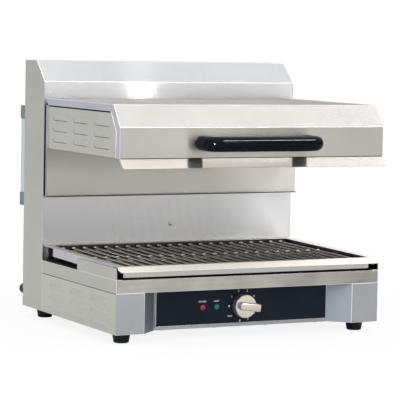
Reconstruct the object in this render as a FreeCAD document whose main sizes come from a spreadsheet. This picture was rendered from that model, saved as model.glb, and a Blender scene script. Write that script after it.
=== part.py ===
import FreeCAD, Part
import math
import os
import Sketcher

# Lift-hood salamander grill, 600 mm wide, in millimetres
# Z is up from the floor, the front faces -Y and the grill is centred on the origin

SIZES = {
    # Casing
    "body_width": 600,
    "body_depth": 478,
    "column_height": 528,
    "column_depth": 105,
    "column_top_depth": 62,
    "base_height": 108,
    "foot_height": 20.5,
    "skin": 1.2,
    # Base front
    "band_height": 26.5,
    "corner_width": 62,
    "corner_run": 38,
    "recess_depth": 36,
    "fascia_side_gap": 4.5,
    "fascia_top_gap": 4.5,
    "fascia_bottom": 8,
    "fascia_thickness": 1,
    "trim_width": 2.4,
    "trim_rise": 1.8,
    # Feet
    "foot_top_radius": 18.4,
    "foot_bottom_radius": 15.5,
    "foot_inset_side": 31,
    "foot_inset_front": 40,
    "foot_inset_rear": 52,
    "foot_screw_radius": 3,
    "foot_nut_radius": 8,
    "foot_nut_height": 3,
    "foot_recess_depth": 9,
    # Louvres
    "louvre_length": 77,
    "louvre_height": 13,
    "louvre_rise": 3.6,
    "louvre_ramp": 6,
    "louvre_brow": 3,
    "louvre_pitch_deep": 104,
    "louvre_pitch_high": 22.5,
    "louvre_front": 44,
    "louvre_rear": 20,
    "louvre_top": 10,
    "base_louvre_low": 12,
    "hood_louvre_low": 15.5,
    # Column
    "slot_width": 18,
    "slot_spare": 4,
    "vent_length": 60,
    "vent_height": 5,
    "vent_pitch": 14,
    "vent_low": 60,
    "vent_offset": 130,
    "vent_rows": 6,
    "vent_columns": 3,
    "rear_screw_radius": 4,
    "rear_screw_head": 2.2,
    "sheet_screw_length": 4.8,
    "rear_screw_side": 8,
    "rear_screw_end": 22,
    "rear_screw_middle": 176,
    "wall_screw_drop": 38,
    "wall_screw_radius": 4.2,
    # Rear spacers
    "spacer_depth": 25,
    "spacer_width": 20,
    "spacer_low": 215,
    "spacer_length": 215,
    "spacer_cap": 28,
    "spacer_step": 1.5,
    "bumper_radius": 12,
    "bumper_tip_radius": 10.5,
    "bumper_inset": 25,
    "bumper_height": 34,
    # Mains inlet
    "gland_inset": 100,
    "gland_height": 54,
    "gland_radius": 11,
    "gland_thread_radius": 8,
    "gland_bore_radius": 5,
    "gland_reach": 16,
    "gland_flange": 5,
    "gland_dome_radius": 9.4,
    "gland_mouth_radius": 7,
    # Tray guides
    "guide_length": 190,
    "guide_height": 24,
    "guide_foot": 13,
    "runner_height": 3.5,
    "runner_width": 22,
    "runner_inset": 60,
    "runner_setback": 20,
    # Drip tray
    "tray_setback": 8.5,
    "tray_wall_gap": 1.5,
    "tray_height": 23,
    "rim_side_gap": 2.5,
    "rim_width": 16.5,
    "rim_back": 11,
    "skirt_height": 17.5,
    "skirt_stop": 42,
    "skirt_flange": 1,
    "lip_side_gap": 1,
    "lip_reach": 12,
    "lip_drop": 10,
    "lip_corner": 9,
    "tray_tilt": 0.84,
    # Wire grid
    "wire_radius": 3,
    "wire_pitch": 25,
    "wire_top": 18.5,
    "cross_radius": 3.5,
    "grid_margin": 4,
    "cross_margin": 7,
    "grid_leg_radius": 3,
    # Hood
    "hood_overhang": 5.4,
    "hood_height": 103.8,
    "hood_top_gap": 77.9,
    "hood_slope_run": 31.8,
    "hood_slope_drop": 43.6,
    "hood_back_gap": 8.5,
    "hood_top_flange": 14,
    "hood_front_flange": 18,
    "hood_back_flange": 17,
    "hood_travel": 95,
    "shield_gap": 16.8,
    "shield_height": 103,
    "shield_wall_gap": 3,
    "deflector_reach": 17.6,
    "deflector_drop": 19,
    "deflector_hem": 16,
    "deflector_corner": 5,
    # Burner
    "reflector_inset": 12,
    "reflector_height": 34,
    "reflector_seat": 4,
    "blanket_thickness": 25,
    "blanket_inset": 6,
    "element_radius": 4,
    "element_pitch": 64,
    "element_runs": 4,
    "element_drop": 12,
    "element_gap": 16,
    "element_tail": 8,
    "bead_radius": 7,
    "bead_proud": 4,
    "support_width": 14,
    "support_thickness": 2,
    # Handle
    "handle_width": 270,
    "handle_radius": 15.2,
    "handle_bend": 17,
    "handle_reach": 61,
    "handle_drop": 74.7,
    "handle_screw_radius": 3,
    "handle_screw_depth": 18,
    "handle_washer_radius": 8,
    "handle_washer": 3,
    # Lift
    "lift_spread": 170,
    "lift_setback": 50,
    "lift_rod_radius": 7,
    "lift_rod_length": 262,
    "lift_rod_rise": 27.9,
    "beam_height": 18,
    "beam_depth": 26,
    "block_width": 44,
    "block_depth": 44,
    "block_height": 70,
    "block_drop": 30.1,
    "bush_wall": 3,
    "bush_length": 20,
    "running_fit": 0.06,
    "arm_thickness": 10,
    "arm_height": 40,
    "arm_drop": 35.1,
    "arm_plate_width": 50,
    "arm_plate_thickness": 4,
    "bolt_radius": 4.5,
    "bolt_head": 3.5,
    "bolt_spread": 17,
    "tie_thickness": 12,
    "tie_depth": 20,
    "spring_spread": 110,
    "spring_radius": 9,
    "spring_wall": 1.5,
    "spring_rod_radius": 4,
    "spring_head_gap": 21.8,
    "spring_stroke_spare": 8,
    "piston_height": 12,
    # Controls
    "knob_radius": 24.6,
    "knob_skirt": 9,
    "knob_bar_width": 15,
    "knob_bar_rise": 14,
    "knob_bar_reach": 31,
    "knob_bore_depth": 15,
    "knob_edge": 1.6,
    "knob_bar_draft": 4,
    "knob_gap": 1,
    "dial_height": 42,
    "shaft_radius": 3,
    "regulator_width": 38,
    "regulator_height": 46,
    "regulator_depth": 30,
    "regulator_neck_radius": 6,
    "regulator_neck": 7,
    "regulator_socket": 12,
    "power_lamp_offset": 92,
    "heat_lamp_offset": 60,
    "lamp_radius": 6,
    "lamp_rise": 3.5,
    "lamp_round": 2.4,
    "lamp_hole_radius": 4.5,
    "lamp_body_radius": 7,
    "lamp_body_length": 24,
    "block_terminals": 6,
    "terminal_pitch": 12,
    "terminal_depth": 22,
    "terminal_wall_gap": 22,
    "terminal_height": 20,
    "terminal_hole_radius": 2.5,
    "terminal_hole_depth": 14,
    # Base screws
    "edge_screw_pitch": 118,
    "edge_screw_count": 4,
    "edge_screw_radius": 4,
    "edge_screw_head": 2.4,
    "edge_screw_setback": 9,
}


# How near an edge has to be to a place to be picked out there
NEAR = 1


class Size:
    """A size that knows its value and the sheet formula that it comes from"""

    def __init__(self, value, text):
        self.value = float(value)
        self.text = text

    def __add__(self, other):
        return Size(self.value + number(other), "(%s + %s)" % (self.text, formula(other)))

    def __sub__(self, other):
        return Size(self.value - number(other), "(%s - %s)" % (self.text, formula(other)))

    def __mul__(self, other):
        return Size(self.value * number(other), "(%s * %s)" % (self.text, formula(other)))

    def __truediv__(self, other):
        return Size(self.value / number(other), "(%s / %s)" % (self.text, formula(other)))

    def __radd__(self, other):
        return Size(other, formula(other)) + self

    def __rsub__(self, other):
        return Size(other, formula(other)) - self

    def __rmul__(self, other):
        return self * other

    def __neg__(self):
        return Size(-self.value, "(-1 * %s)" % self.text)


def number(size):
    return size.value if isinstance(size, Size) else float(size)


def formula(size):
    return size.text if isinstance(size, Size) else "(%.12g)" % size


def root(size):
    return Size(math.sqrt(size.value), "sqrt(%s)" % size.text)


def tangent(degrees):
    return Size(math.tan(math.radians(degrees.value)), "tan(%s * 1deg)" % degrees.text)


class Sheet:
    """The spreadsheet of driving sizes, read back as Size values"""

    def __init__(self, doc, sizes):
        self.page = doc.addObject("Spreadsheet::Sheet", "Dims")
        for row, (name, value) in enumerate(sizes.items(), start=1):
            self.page.set("A%d" % row, name)
            self.page.set("B%d" % row, str(value))
            self.page.setAlias("B%d" % row, name)
        doc.recompute()
        self.sizes = sizes

    def __getattr__(self, name):
        return Size(self.sizes[name], "Dims." + name)


doc = FreeCAD.newDocument("SalamanderGrill")
d = Sheet(doc, SIZES)
nodes = []

# Places that several pieces share
half = d.body_width / 2
front = (d.hood_overhang + d.handle_reach - d.body_depth - d.spacer_depth) / 2
rear = front + d.body_depth
wall = rear - d.column_depth
floor = d.foot_height
deck = floor + d.base_height
band_low = deck - d.band_height
recess_y = front + d.recess_depth
recess_half = half - d.corner_width - d.corner_run
column_top = floor + d.column_height
column_slope_low = column_top - (d.column_depth - d.column_top_depth)
hood_top = column_top - d.hood_top_gap
hood_low = hood_top - d.hood_height
arm_z = (hood_top - d.arm_drop - d.arm_height, hood_top - d.arm_drop)
rod_z = (hood_top + d.lift_rod_rise - d.lift_rod_length, hood_top + d.lift_rod_rise)
hood_face = front - d.hood_overhang
hood_rear = wall - d.hood_back_gap
shield_y = wall - d.shield_gap
shield_back = shield_y + d.skin
shield_low = hood_low - d.shield_height
dial_z = floor + d.dial_height
gland_x = half - d.gland_inset


def node(thing, name):
    """Register a finished sub-part under its own name"""
    thing.Label = name
    nodes.append(thing)
    return thing


def bind(thing, place, size):
    """Give a property its value, tied to the sheet when it is a sheet size"""
    if isinstance(size, Size):
        thing.setExpression(place, size.text)
    elif size:
        thing.setExpression(place, "%.12g" % size)


def put(thing, x, y, z):
    bind(thing, "Placement.Base.x", x)
    bind(thing, "Placement.Base.y", y)
    bind(thing, "Placement.Base.z", z)
    return thing


def slab(x, y, z):
    """A box between a low and a high value on each axis"""
    box = doc.addObject("Part::Box", "Slab")
    for side, (low, high) in zip(("Length", "Width", "Height"), (x, y, z)):
        bind(box, side, high - low)
    return put(box, x[0], y[0], z[0])


TURNS = {
    "x": FreeCAD.Rotation(FreeCAD.Vector(0, 1, 0), 90),
    "y": FreeCAD.Rotation(FreeCAD.Vector(1, 0, 0), -90),
    "z": FreeCAD.Rotation(),
}


def rod(axis, start, length, radius, top_radius=None):
    """A cylinder, or a cone when it has a top radius, that runs along an axis from its start"""
    kind = "Part::Cone" if top_radius is not None else "Part::Cylinder"
    bar = doc.addObject(kind, "Rod")
    bar.Placement.Rotation = TURNS[axis]
    bind(bar, "Height", length)
    if top_radius is None:
        bind(bar, "Radius", radius)
    else:
        bind(bar, "Radius1", radius)
        bind(bar, "Radius2", top_radius)
    return put(bar, *start)


def bend(centre, bend_radius, bar_radius, rotation, angle):
    """A bent stretch of round bar, a part of a ring about its centre"""
    ring = doc.addObject("Part::Torus", "Bend")
    ring.Angle3 = angle
    ring.Placement.Rotation = rotation
    bind(ring, "Radius1", bend_radius)
    bind(ring, "Radius2", bar_radius)
    return put(ring, *centre)


def fused(pieces):
    whole = doc.addObject("Part::MultiFuse", "Fused")
    whole.Shapes = pieces
    whole.Refine = True
    return whole


def grouped(pieces):
    group = doc.addObject("Part::Compound", "Group")
    group.Links = pieces
    return group


def trimmed(base, tools):
    cut = doc.addObject("Part::Cut", "Trimmed")
    cut.Base = base
    cut.Tool = tools[0] if len(tools) == 1 else grouped(tools)
    return cut


def span(side, inner, outer):
    """The X range between two distances from the middle, on the left (-1) or the right (1)"""
    return (inner, outer) if side > 0 else (-outer, -inner)


def plane_of(body, role):
    return [part for part in body.Origin.OriginFeatures if part.Role == role][0]


def new_sketch(body, role, name="Sketch"):
    sketch = body.newObject("Sketcher::SketchObject", name)
    sketch.AttachmentSupport = (plane_of(body, role), [""])
    sketch.MapMode = "FlatFace"
    return sketch


def draw_outline(sketch, points):
    """A closed outline whose every corner is tied to the sheet"""
    corners = [FreeCAD.Vector(number(x), number(y), 0) for x, y in points]
    first = sketch.GeometryCount
    for index, corner in enumerate(corners):
        sketch.addGeometry(Part.LineSegment(corner, corners[(index + 1) % len(corners)]))
    for index, corner in enumerate(corners):
        line = first + index
        following = first + (index + 1) % len(corners)
        sketch.addConstraint(Sketcher.Constraint("Coincident", line, 2, following, 1))
        for kind, size, value in zip(("DistanceX", "DistanceY"), points[index], corner):
            place = sketch.addConstraint(Sketcher.Constraint(kind, -1, 1, line, 1, value))
            if isinstance(size, Size):
                sketch.setExpression("Constraints[%d]" % place, size.text)
    return sketch


def draw_circle(sketch, x, y, radius):
    circle = Part.Circle(FreeCAD.Vector(number(x), number(y), 0), FreeCAD.Vector(0, 0, 1), number(radius))
    index = sketch.addGeometry(circle)
    for kind, size in zip(("DistanceX", "DistanceY"), (x, y)):
        place = sketch.addConstraint(Sketcher.Constraint(kind, -1, 1, index, 3, number(size)))
        if isinstance(size, Size):
            sketch.setExpression("Constraints[%d]" % place, size.text)
    place = sketch.addConstraint(Sketcher.Constraint("Radius", index, number(radius)))
    if isinstance(radius, Size):
        sketch.setExpression("Constraints[%d]" % place, radius.text)
    return sketch


def add_pad(body, sketch, length, symmetric=False):
    pad = body.newObject("PartDesign::Pad", "Pad")
    pad.Profile = sketch
    if symmetric:
        pad.SideType = "Symmetric"
    bind(pad, "Length", length)
    return pad


def add_pocket(body, sketch, through_both=True):
    pocket = body.newObject("PartDesign::Pocket", "Pocket")
    pocket.Profile = sketch
    pocket.Type = "ThroughAll"
    if through_both:
        pocket.SideType = "Symmetric"
    return pocket


def plate(role, outline, low, thickness):
    """A flat plate with the given outline, which starts at a low value along its plane's normal"""
    body = doc.addObject("PartDesign::Body", "Plate")
    add_pad(body, draw_outline(new_sketch(body, role), outline), thickness)
    axis = {"XY_Plane": "z", "YZ_Plane": "x"}[role]
    bind(body, "Placement.Base." + axis, low)
    return body


def beside(line, distance):
    """The line of fold points moved sideways by a distance, to the left of its direction"""
    normals = []
    for (x0, y0), (x1, y1) in zip(line, line[1:]):
        run_x, run_y = as_size(x1 - x0), as_size(y1 - y0)
        long = root(run_x * run_x + run_y * run_y)
        normals.append((-run_y / long, run_x / long))
    moved = []
    for index, (x, y) in enumerate(line):
        before = normals[max(index - 1, 0)]
        after = normals[min(index, len(normals) - 1)]
        share = 1 + before[0] * after[0] + before[1] * after[1]
        moved.append((x + (before[0] + after[0]) * distance / share,
                      y + (before[1] + after[1]) * distance / share))
    return moved


def as_size(value):
    return value if isinstance(value, Size) else Size(value, formula(value))


def fitting(room, length, pitch):
    """How many things of one length fit in a room when they stand at a pitch"""
    return 1 + int((number(room) - number(length)) / number(pitch))


def folded(role, line, low, length):
    """Sheet metal bent along a line of fold points, one skin thick to the left of the line"""
    return plate(role, line + beside(line, d.skin)[::-1], low, length)


def folded_wide(line, width):
    """Sheet metal bent along a line in the side view, centred across the grill"""
    body = doc.addObject("PartDesign::Body", "Folded")
    sketch = draw_outline(new_sketch(body, "YZ_Plane"), line + beside(line, d.skin)[::-1])
    add_pad(body, sketch, width, symmetric=True)
    return body


def add_cheeks(body, outline):
    """A pair of side flanges one skin thick, flush with the sides of the grill"""
    sketch = new_sketch(body, "YZ_Plane")
    bind(sketch, "AttachmentOffset.Base.z", half - d.skin)
    cheek = add_pad(body, draw_outline(sketch, outline), d.skin)
    mirrored = body.newObject("PartDesign::Mirrored", "OtherSide")
    mirrored.Originals = [cheek]
    mirrored.MirrorPlane = (plane_of(body, "YZ_Plane"), [""])
    body.Tip = mirrored
    return mirrored


def add_pattern(body, features, across, across_pitch, across_count, up=None, up_pitch=0, up_count=1):
    """Copies of features in rows along one or two axes of a body"""
    pattern = body.newObject("PartDesign::LinearPattern", "Rows")
    pattern.Originals = features
    pattern.Direction = (plane_of(body, across), [""])
    pattern.Mode = "Spacing"
    bind(pattern, "Offset", across_pitch)
    pattern.Occurrences = across_count
    if up:
        pattern.Direction2 = (plane_of(body, up), [""])
        pattern.Mode2 = "Spacing"
        bind(pattern, "Offset2", up_pitch)
        pattern.Occurrences2 = up_count
    body.Tip = pattern
    return pattern


def round_corners(body, radius, chosen):
    """Round those edges of a body's last feature that a test on their middle picks out"""
    doc.recompute()
    last = body.Tip
    names = ["Edge%d" % (index + 1) for index, edge in enumerate(last.Shape.Edges)
             if chosen(edge.CenterOfMass, edge.Length)]
    fillet = body.newObject("PartDesign::Fillet", "Rounded")
    fillet.Base = (last, names)
    bind(fillet, "Radius", radius)
    body.Tip = fillet
    return fillet


def louvred_panel(side, inner_face, outline, low_front, low_edge, rear_edge, top_edge):
    """A side panel with rows of pressed louvres, each open along its lower edge"""
    columns = fitting(rear_edge - d.louvre_rear - low_front, d.louvre_length, d.louvre_pitch_deep)
    rows = fitting(top_edge - d.louvre_top - low_edge, d.louvre_height, d.louvre_pitch_high)
    body = doc.addObject("PartDesign::Body", "LouvredPanel")
    add_pad(body, draw_outline(new_sketch(body, "YZ_Plane"), outline), d.skin)
    bind(body, "Placement.Base.x", inner_face if side > 0 else -inner_face - d.skin)
    turn = FreeCAD.Rotation(FreeCAD.Vector(0, 0, 1), -90 * side)
    face_x = d.skin if side > 0 else 0
    start_y = low_front + d.louvre_length if side > 0 else low_front
    rise = d.louvre_rise
    outer = {
        "Xmin": 0, "Xmax": d.louvre_length,
        "X2min": d.louvre_ramp, "X2max": d.louvre_length - d.louvre_ramp,
        "Ymin": 0, "Ymax": rise, "Zmin": 0, "Zmax": d.louvre_height, "Z2min": 0, "Z2max": d.louvre_brow,
    }
    inner = {
        "Xmin": d.skin, "Xmax": d.louvre_length - d.skin,
        "X2min": d.louvre_ramp + d.skin, "X2max": d.louvre_length - d.louvre_ramp - d.skin,
        "Ymin": -2 * d.skin, "Ymax": rise - d.skin,
        "Zmin": 0, "Zmax": d.louvre_height - d.skin, "Z2min": 0, "Z2max": d.louvre_brow,
    }
    pair = []
    for kind, sizes in (("PartDesign::AdditiveWedge", outer), ("PartDesign::SubtractiveWedge", inner)):
        wedge = body.newObject(kind, "Louvre")
        wedge.Placement.Rotation = turn
        for name in ("X2max", "Xmax", "Ymax", "Z2max", "Zmax", "X2min", "Xmin", "Ymin", "Z2min", "Zmin"):
            setattr(wedge, name, number(sizes[name]))
            if isinstance(sizes[name], Size):
                wedge.setExpression(name, sizes[name].text)
        put(wedge, face_x, start_y, low_edge)
        pair.append(wedge)
    doc.recompute()
    add_pattern(body, pair, "Y_Axis", d.louvre_pitch_deep, columns, "Z_Axis", d.louvre_pitch_high, rows)
    return body


# Base
fascia_line = [
    (-half, front), (d.corner_width - half, front), (-recess_half, recess_y),
    (recess_half, recess_y), (half - d.corner_width, front), (half, front),
]
feet_places = [
    (side * (half - d.foot_inset_side), y)
    for side in (-1, 1) for y in (front + d.foot_inset_front, rear - d.foot_inset_rear)
]
edge_screw_y = recess_y + d.skin + d.edge_screw_setback
edge_screw_xs = [
    (index - (SIZES["edge_screw_count"] - 1) / 2) * d.edge_screw_pitch
    for index in range(SIZES["edge_screw_count"])
]


def floor_plate():
    inner = beside(fascia_line, d.skin)
    outline = [(d.skin - half, front + d.skin)] + inner[1:5] + [
        (half - d.skin, front + d.skin), (half - d.skin, rear - d.skin), (d.skin - half, rear - d.skin)]
    body = plate("XY_Plane", outline, floor, d.skin)
    holes = new_sketch(body, "XY_Plane")
    for x, y in feet_places:
        draw_circle(holes, x, y, d.foot_screw_radius + d.running_fit)
    for x in edge_screw_xs:
        draw_circle(holes, x, edge_screw_y, d.edge_screw_radius / 2 + d.running_fit)
    add_pocket(body, holes)
    return node(body, "floor_plate")


def base_side(side, name):
    outline = [(front + d.skin, floor), (wall, floor), (wall, band_low), (front + d.skin, band_low)]
    body = louvred_panel(side, half - d.skin, outline, front + d.louvre_front, floor + d.base_louvre_low,
                         wall, band_low)
    return node(body, name)


def panel_holes(sketch, low):
    """The holes that the front panel and its black plate share"""
    draw_circle(sketch, 0, dial_z - low, d.regulator_neck_radius + d.running_fit)
    for offset in (d.power_lamp_offset, d.heat_lamp_offset):
        draw_circle(sketch, -offset, dial_z - low, d.lamp_hole_radius)
    return sketch


def front_fascia():
    body = folded("XY_Plane", fascia_line, floor, band_low - floor)
    add_pocket(body, panel_holes(new_sketch(body, "XZ_Plane"), floor))
    return node(body, "front_fascia")


def top_frame():
    outer = slab((-half, half), (front, wall), (band_low, deck))
    hollow = slab((d.skin - half, half - d.skin), (front + d.skin, wall), (band_low, deck - d.skin))
    soffit = slab((d.skin - half, half - d.skin), (front + d.skin, recess_y + d.skin),
                  (band_low, band_low + d.skin))
    return node(fused([trimmed(outer, [hollow]), soffit]), "top_frame")


plate_x = (d.fascia_side_gap - recess_half, recess_half - d.fascia_side_gap)
plate_z = (floor + d.fascia_bottom, band_low - d.fascia_top_gap)


def control_plate():
    body = doc.addObject("PartDesign::Body", "ControlPlate")
    outline = [(plate_x[0], plate_z[0]), (plate_x[1], plate_z[0]),
               (plate_x[1], plate_z[1]), (plate_x[0], plate_z[1])]
    add_pad(body, draw_outline(new_sketch(body, "XZ_Plane"), outline), d.fascia_thickness)
    bind(body, "Placement.Base.y", recess_y)
    add_pocket(body, panel_holes(new_sketch(body, "XZ_Plane"), 0))
    return node(body, "control_plate")


def panel_surround():
    wide = d.trim_width
    y = (recess_y - d.trim_rise, recess_y)
    outer = slab((plate_x[0] - wide, plate_x[1] + wide), y, (plate_z[0] - wide, plate_z[1] + wide))
    return node(trimmed(outer, [slab(plate_x, y, plate_z)]), "panel_surround")


def signal_lamp(offset, name):
    """A domed lens whose stem passes through the panel"""
    body = doc.addObject("PartDesign::Body", "Lamp")
    stem = d.fascia_thickness + d.skin
    add_pad(body, draw_circle(new_sketch(body, "XZ_Plane"), 0, 0, d.lamp_hole_radius - d.running_fit), stem)
    lens = new_sketch(body, "XZ_Plane")
    bind(lens, "AttachmentOffset.Base.z", stem)
    add_pad(body, draw_circle(lens, 0, 0, d.lamp_radius), d.lamp_rise)
    round_corners(body, d.lamp_round, lambda middle, length: middle.y < number(-stem - d.lamp_rise) + NEAR)
    put(body, -offset, recess_y + d.skin, dial_z)
    return node(body, name)


def lamp_bodies():
    back = recess_y + d.skin
    return node(grouped([
        rod("y", (-offset, back, dial_z), d.lamp_body_length, d.lamp_body_radius)
        for offset in (d.power_lamp_offset, d.heat_lamp_offset)]), "lamp_bodies")


def energy_regulator():
    back = recess_y + d.skin
    wide = d.regulator_width / 2
    tall = d.regulator_height / 2
    case = slab((-wide, wide), (back, back + d.regulator_depth), (dial_z - tall, dial_z + tall))
    neck = rod("y", (0, back - d.regulator_neck, dial_z), d.regulator_neck, d.regulator_neck_radius)
    depth = d.regulator_neck + d.regulator_socket + d.knob_gap
    bore = rod("y", (0, back - d.regulator_neck, dial_z), depth, d.shaft_radius + d.running_fit)
    return node(trimmed(fused([case, neck]), [bore]), "energy_regulator")


knob_back = recess_y - d.fascia_thickness - d.knob_gap


def regulator_shaft():
    inner = recess_y + d.skin + d.regulator_socket
    outer = knob_back - d.knob_bore_depth
    return node(rod("y", (0, outer, dial_z), inner - outer, d.shaft_radius), "regulator_shaft")


def control_knob():
    body = doc.addObject("PartDesign::Body", "ControlKnob")
    edge = d.knob_edge
    hollow = d.knob_radius - 2 * edge
    depth = d.regulator_neck
    profile = [(0, -depth), (hollow, -depth), (hollow, 0), (d.knob_radius, 0),
               (d.knob_radius, edge - d.knob_skirt), (d.knob_radius - edge, -d.knob_skirt),
               (0, -d.knob_skirt)]
    sketch = draw_outline(new_sketch(body, "XY_Plane"), profile)
    skirt = body.newObject("PartDesign::Revolution", "Skirt")
    skirt.Profile = sketch
    skirt.ReferenceAxis = (sketch, ["V_Axis"])
    skirt.Angle = 360
    bar_sketch = new_sketch(body, "XZ_Plane")
    bind(bar_sketch, "AttachmentOffset.Base.z", d.knob_skirt)
    wide = d.knob_bar_width / 2
    tail = d.knob_radius - edge
    outline = [(-tail, -wide), (d.knob_bar_reach, -wide), (d.knob_bar_reach, wide), (-tail, wide)]
    bar = add_pad(body, draw_outline(bar_sketch, outline), d.knob_bar_rise)
    bind(bar, "TaperAngle", -d.knob_bar_draft)
    crest = number(-d.knob_skirt - d.knob_bar_rise) + NEAR
    round_corners(body, edge, lambda middle, length: middle.y < crest)
    bore = body.newObject("PartDesign::Pocket", "ShaftBore")
    bore.Profile = draw_circle(new_sketch(body, "XZ_Plane"), 0, 0, d.shaft_radius + d.running_fit)
    bore.Reversed = True
    bind(bore, "Length", d.knob_bore_depth)
    put(body, 0, knob_back, dial_z)
    return node(body, "control_knob")


def terminal_block():
    body = doc.addObject("PartDesign::Body", "TerminalBlock")
    low = gland_x - d.terminal_pitch * d.block_terminals / 2
    y = wall - d.terminal_wall_gap - d.terminal_depth
    high = low + d.terminal_pitch * d.block_terminals
    outline = [(low, y), (high, y), (high, y + d.terminal_depth), (low, y + d.terminal_depth)]
    add_pad(body, draw_outline(new_sketch(body, "XY_Plane"), outline), d.terminal_height)
    holes = new_sketch(body, "XY_Plane")
    bind(holes, "AttachmentOffset.Base.z", d.terminal_height)
    draw_circle(holes, low + d.terminal_pitch / 2, y + d.terminal_depth / 2, d.terminal_hole_radius)
    well = body.newObject("PartDesign::Pocket", "ScrewWell")
    well.Profile = holes
    bind(well, "Length", d.terminal_hole_depth)
    add_pattern(body, [well], "X_Axis", d.terminal_pitch, SIZES["block_terminals"])
    bind(body, "Placement.Base.z", floor + d.skin)
    return node(body, "terminal_block")


def prism(start, length, radius):
    """A hexagonal bar along +Y"""
    bar = doc.addObject("Part::Prism", "Hexagon")
    bar.Polygon = 6
    bar.Placement.Rotation = TURNS["y"]
    bind(bar, "Circumradius", radius)
    bind(bar, "Height", length)
    return put(bar, *start)


def cable_gland():
    x, z = gland_x, floor + d.gland_height
    inside = d.gland_flange + 2 * d.skin
    hexagon = prism((x, rear, z), d.gland_flange, d.gland_radius)
    dome = rod("y", (x, rear + d.gland_flange, z), d.gland_reach - d.gland_flange,
               d.gland_dome_radius, d.gland_mouth_radius)
    thread = rod("y", (x, rear - inside, z), inside, d.gland_thread_radius)
    bore = rod("y", (x, rear - inside, z), inside + d.gland_reach, d.gland_bore_radius)
    return node(trimmed(fused([hexagon, dome, thread]), [bore]), "cable_gland")


def gland_nut():
    x, z = gland_x, floor + d.gland_height
    y = rear - d.skin - d.gland_flange
    nut = prism((x, y, z), d.gland_flange, d.gland_radius)
    hole = rod("y", (x, y, z), d.gland_flange, d.gland_thread_radius + d.running_fit)
    return node(trimmed(nut, [hole]), "gland_nut")


def rubber_feet():
    feet = []
    for x, y in feet_places:
        foot = rod("z", (x, y, 0), d.foot_height, d.foot_bottom_radius, d.foot_top_radius)
        socket = rod("z", (x, y, d.foot_height - d.foot_recess_depth), d.foot_recess_depth,
                     d.foot_screw_radius + d.running_fit)
        feet.append(trimmed(foot, [socket]))
    return node(grouped(feet), "rubber_feet")


def foot_studs():
    studs = []
    for x, y in feet_places:
        low = d.foot_height - d.foot_recess_depth
        top = floor + d.skin
        shank = rod("z", (x, y, low), top - low + d.foot_nut_height, d.foot_screw_radius)
        nut = rod("z", (x, y, top), d.foot_nut_height, d.foot_nut_radius)
        studs.append(fused([shank, nut]))
    return node(grouped(studs), "foot_studs")


def base_screws():
    screws = []
    for x in edge_screw_xs:
        head_z = floor - d.edge_screw_head
        head = rod("z", (x, edge_screw_y, head_z), d.edge_screw_head, d.edge_screw_radius)
        shank = rod("z", (x, edge_screw_y, floor), d.sheet_screw_length, d.edge_screw_radius / 2)
        screws.append(fused([head, shank]))
    return node(grouped(screws), "base_screws")


# Column
column_half = half - d.skin
wall_screw_z = rod_z[0] - d.wall_screw_drop
rear_screws_at = [
    (side * (column_half - d.rear_screw_side), z) for side in (-1, 1)
    for z in (floor + d.rear_screw_end, floor + d.rear_screw_middle, column_top - d.rear_screw_end)
]


def column_side(side, name):
    outline = [(wall, floor), (rear, floor), (rear, column_top),
               (rear - d.column_top_depth, column_top), (wall, column_slope_low)]
    low = half - d.skin if side > 0 else -half
    return node(plate("YZ_Plane", outline, low, d.skin), name)


def column_front():
    line = [(rear, column_top), (rear - d.column_top_depth, column_top),
            (wall, column_slope_low), (wall, floor + d.skin)]
    body = folded_wide(line, 2 * column_half)
    slots = new_sketch(body, "XZ_Plane")
    low = arm_z[0] - d.hood_travel - d.slot_spare
    high = arm_z[1] + d.slot_spare
    for side in (-1, 1):
        left = side * d.lift_spread - d.slot_width / 2
        right = side * d.lift_spread + d.slot_width / 2
        draw_outline(slots, [(left, low), (right, low), (right, high), (left, high)])
    draw_circle(slots, 0, wall_screw_z, d.wall_screw_radius / 2 + d.running_fit)
    add_pocket(body, slots)
    return node(body, "column_front")


def column_rear():
    body = doc.addObject("PartDesign::Body", "ColumnRear")
    low, high = floor + d.skin, column_top - d.skin
    outline = [(-column_half, low), (column_half, low), (column_half, high), (-column_half, high)]
    add_pad(body, draw_outline(new_sketch(body, "XZ_Plane"), outline), d.skin)
    bind(body, "Placement.Base.y", rear)
    holes = new_sketch(body, "XZ_Plane")
    for x, z in rear_screws_at:
        draw_circle(holes, x, z, d.rear_screw_radius / 2 + d.running_fit)
    draw_circle(holes, gland_x, floor + d.gland_height, d.gland_thread_radius + d.running_fit)
    add_pocket(body, holes)
    vent = new_sketch(body, "XZ_Plane")
    left = -d.vent_offset * (SIZES["vent_columns"] - 1) / 2 - d.vent_length / 2
    vent_z = column_top - d.vent_low - d.vent_pitch * SIZES["vent_rows"]
    draw_outline(vent, [(left, vent_z), (left + d.vent_length, vent_z),
                        (left + d.vent_length, vent_z + d.vent_height), (left, vent_z + d.vent_height)])
    cut = add_pocket(body, vent)
    add_pattern(body, [cut], "X_Axis", d.vent_offset, SIZES["vent_columns"],
                "Z_Axis", d.vent_pitch, SIZES["vent_rows"])
    return node(body, "column_rear")


def panel_screw(x, y, z, outward):
    """A pan-head screw along Y whose head stands on the outside of a sheet"""
    head_y = y if outward > 0 else y - d.rear_screw_head
    shank_y = y - d.sheet_screw_length if outward > 0 else y
    head = rod("y", (x, head_y, z), d.rear_screw_head, d.rear_screw_radius)
    shank = rod("y", (x, shank_y, z), d.sheet_screw_length, d.rear_screw_radius / 2)
    return fused([head, shank])


def rear_screws():
    return node(grouped([panel_screw(x, rear, z, 1) for x, z in rear_screws_at]), "rear_screws")


def wall_screw():
    return node(panel_screw(0, wall, wall_screw_z, -1), "wall_screw")


def wall_spacers():
    low = floor + d.spacer_low + d.spacer_cap
    high = floor + d.spacer_low + d.spacer_length - d.spacer_cap
    bars = [slab(span(side, half - d.spacer_width, half - d.spacer_step),
                 (rear, rear + d.spacer_depth - d.spacer_step), (low, high)) for side in (-1, 1)]
    return node(grouped(bars), "wall_spacers")


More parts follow.
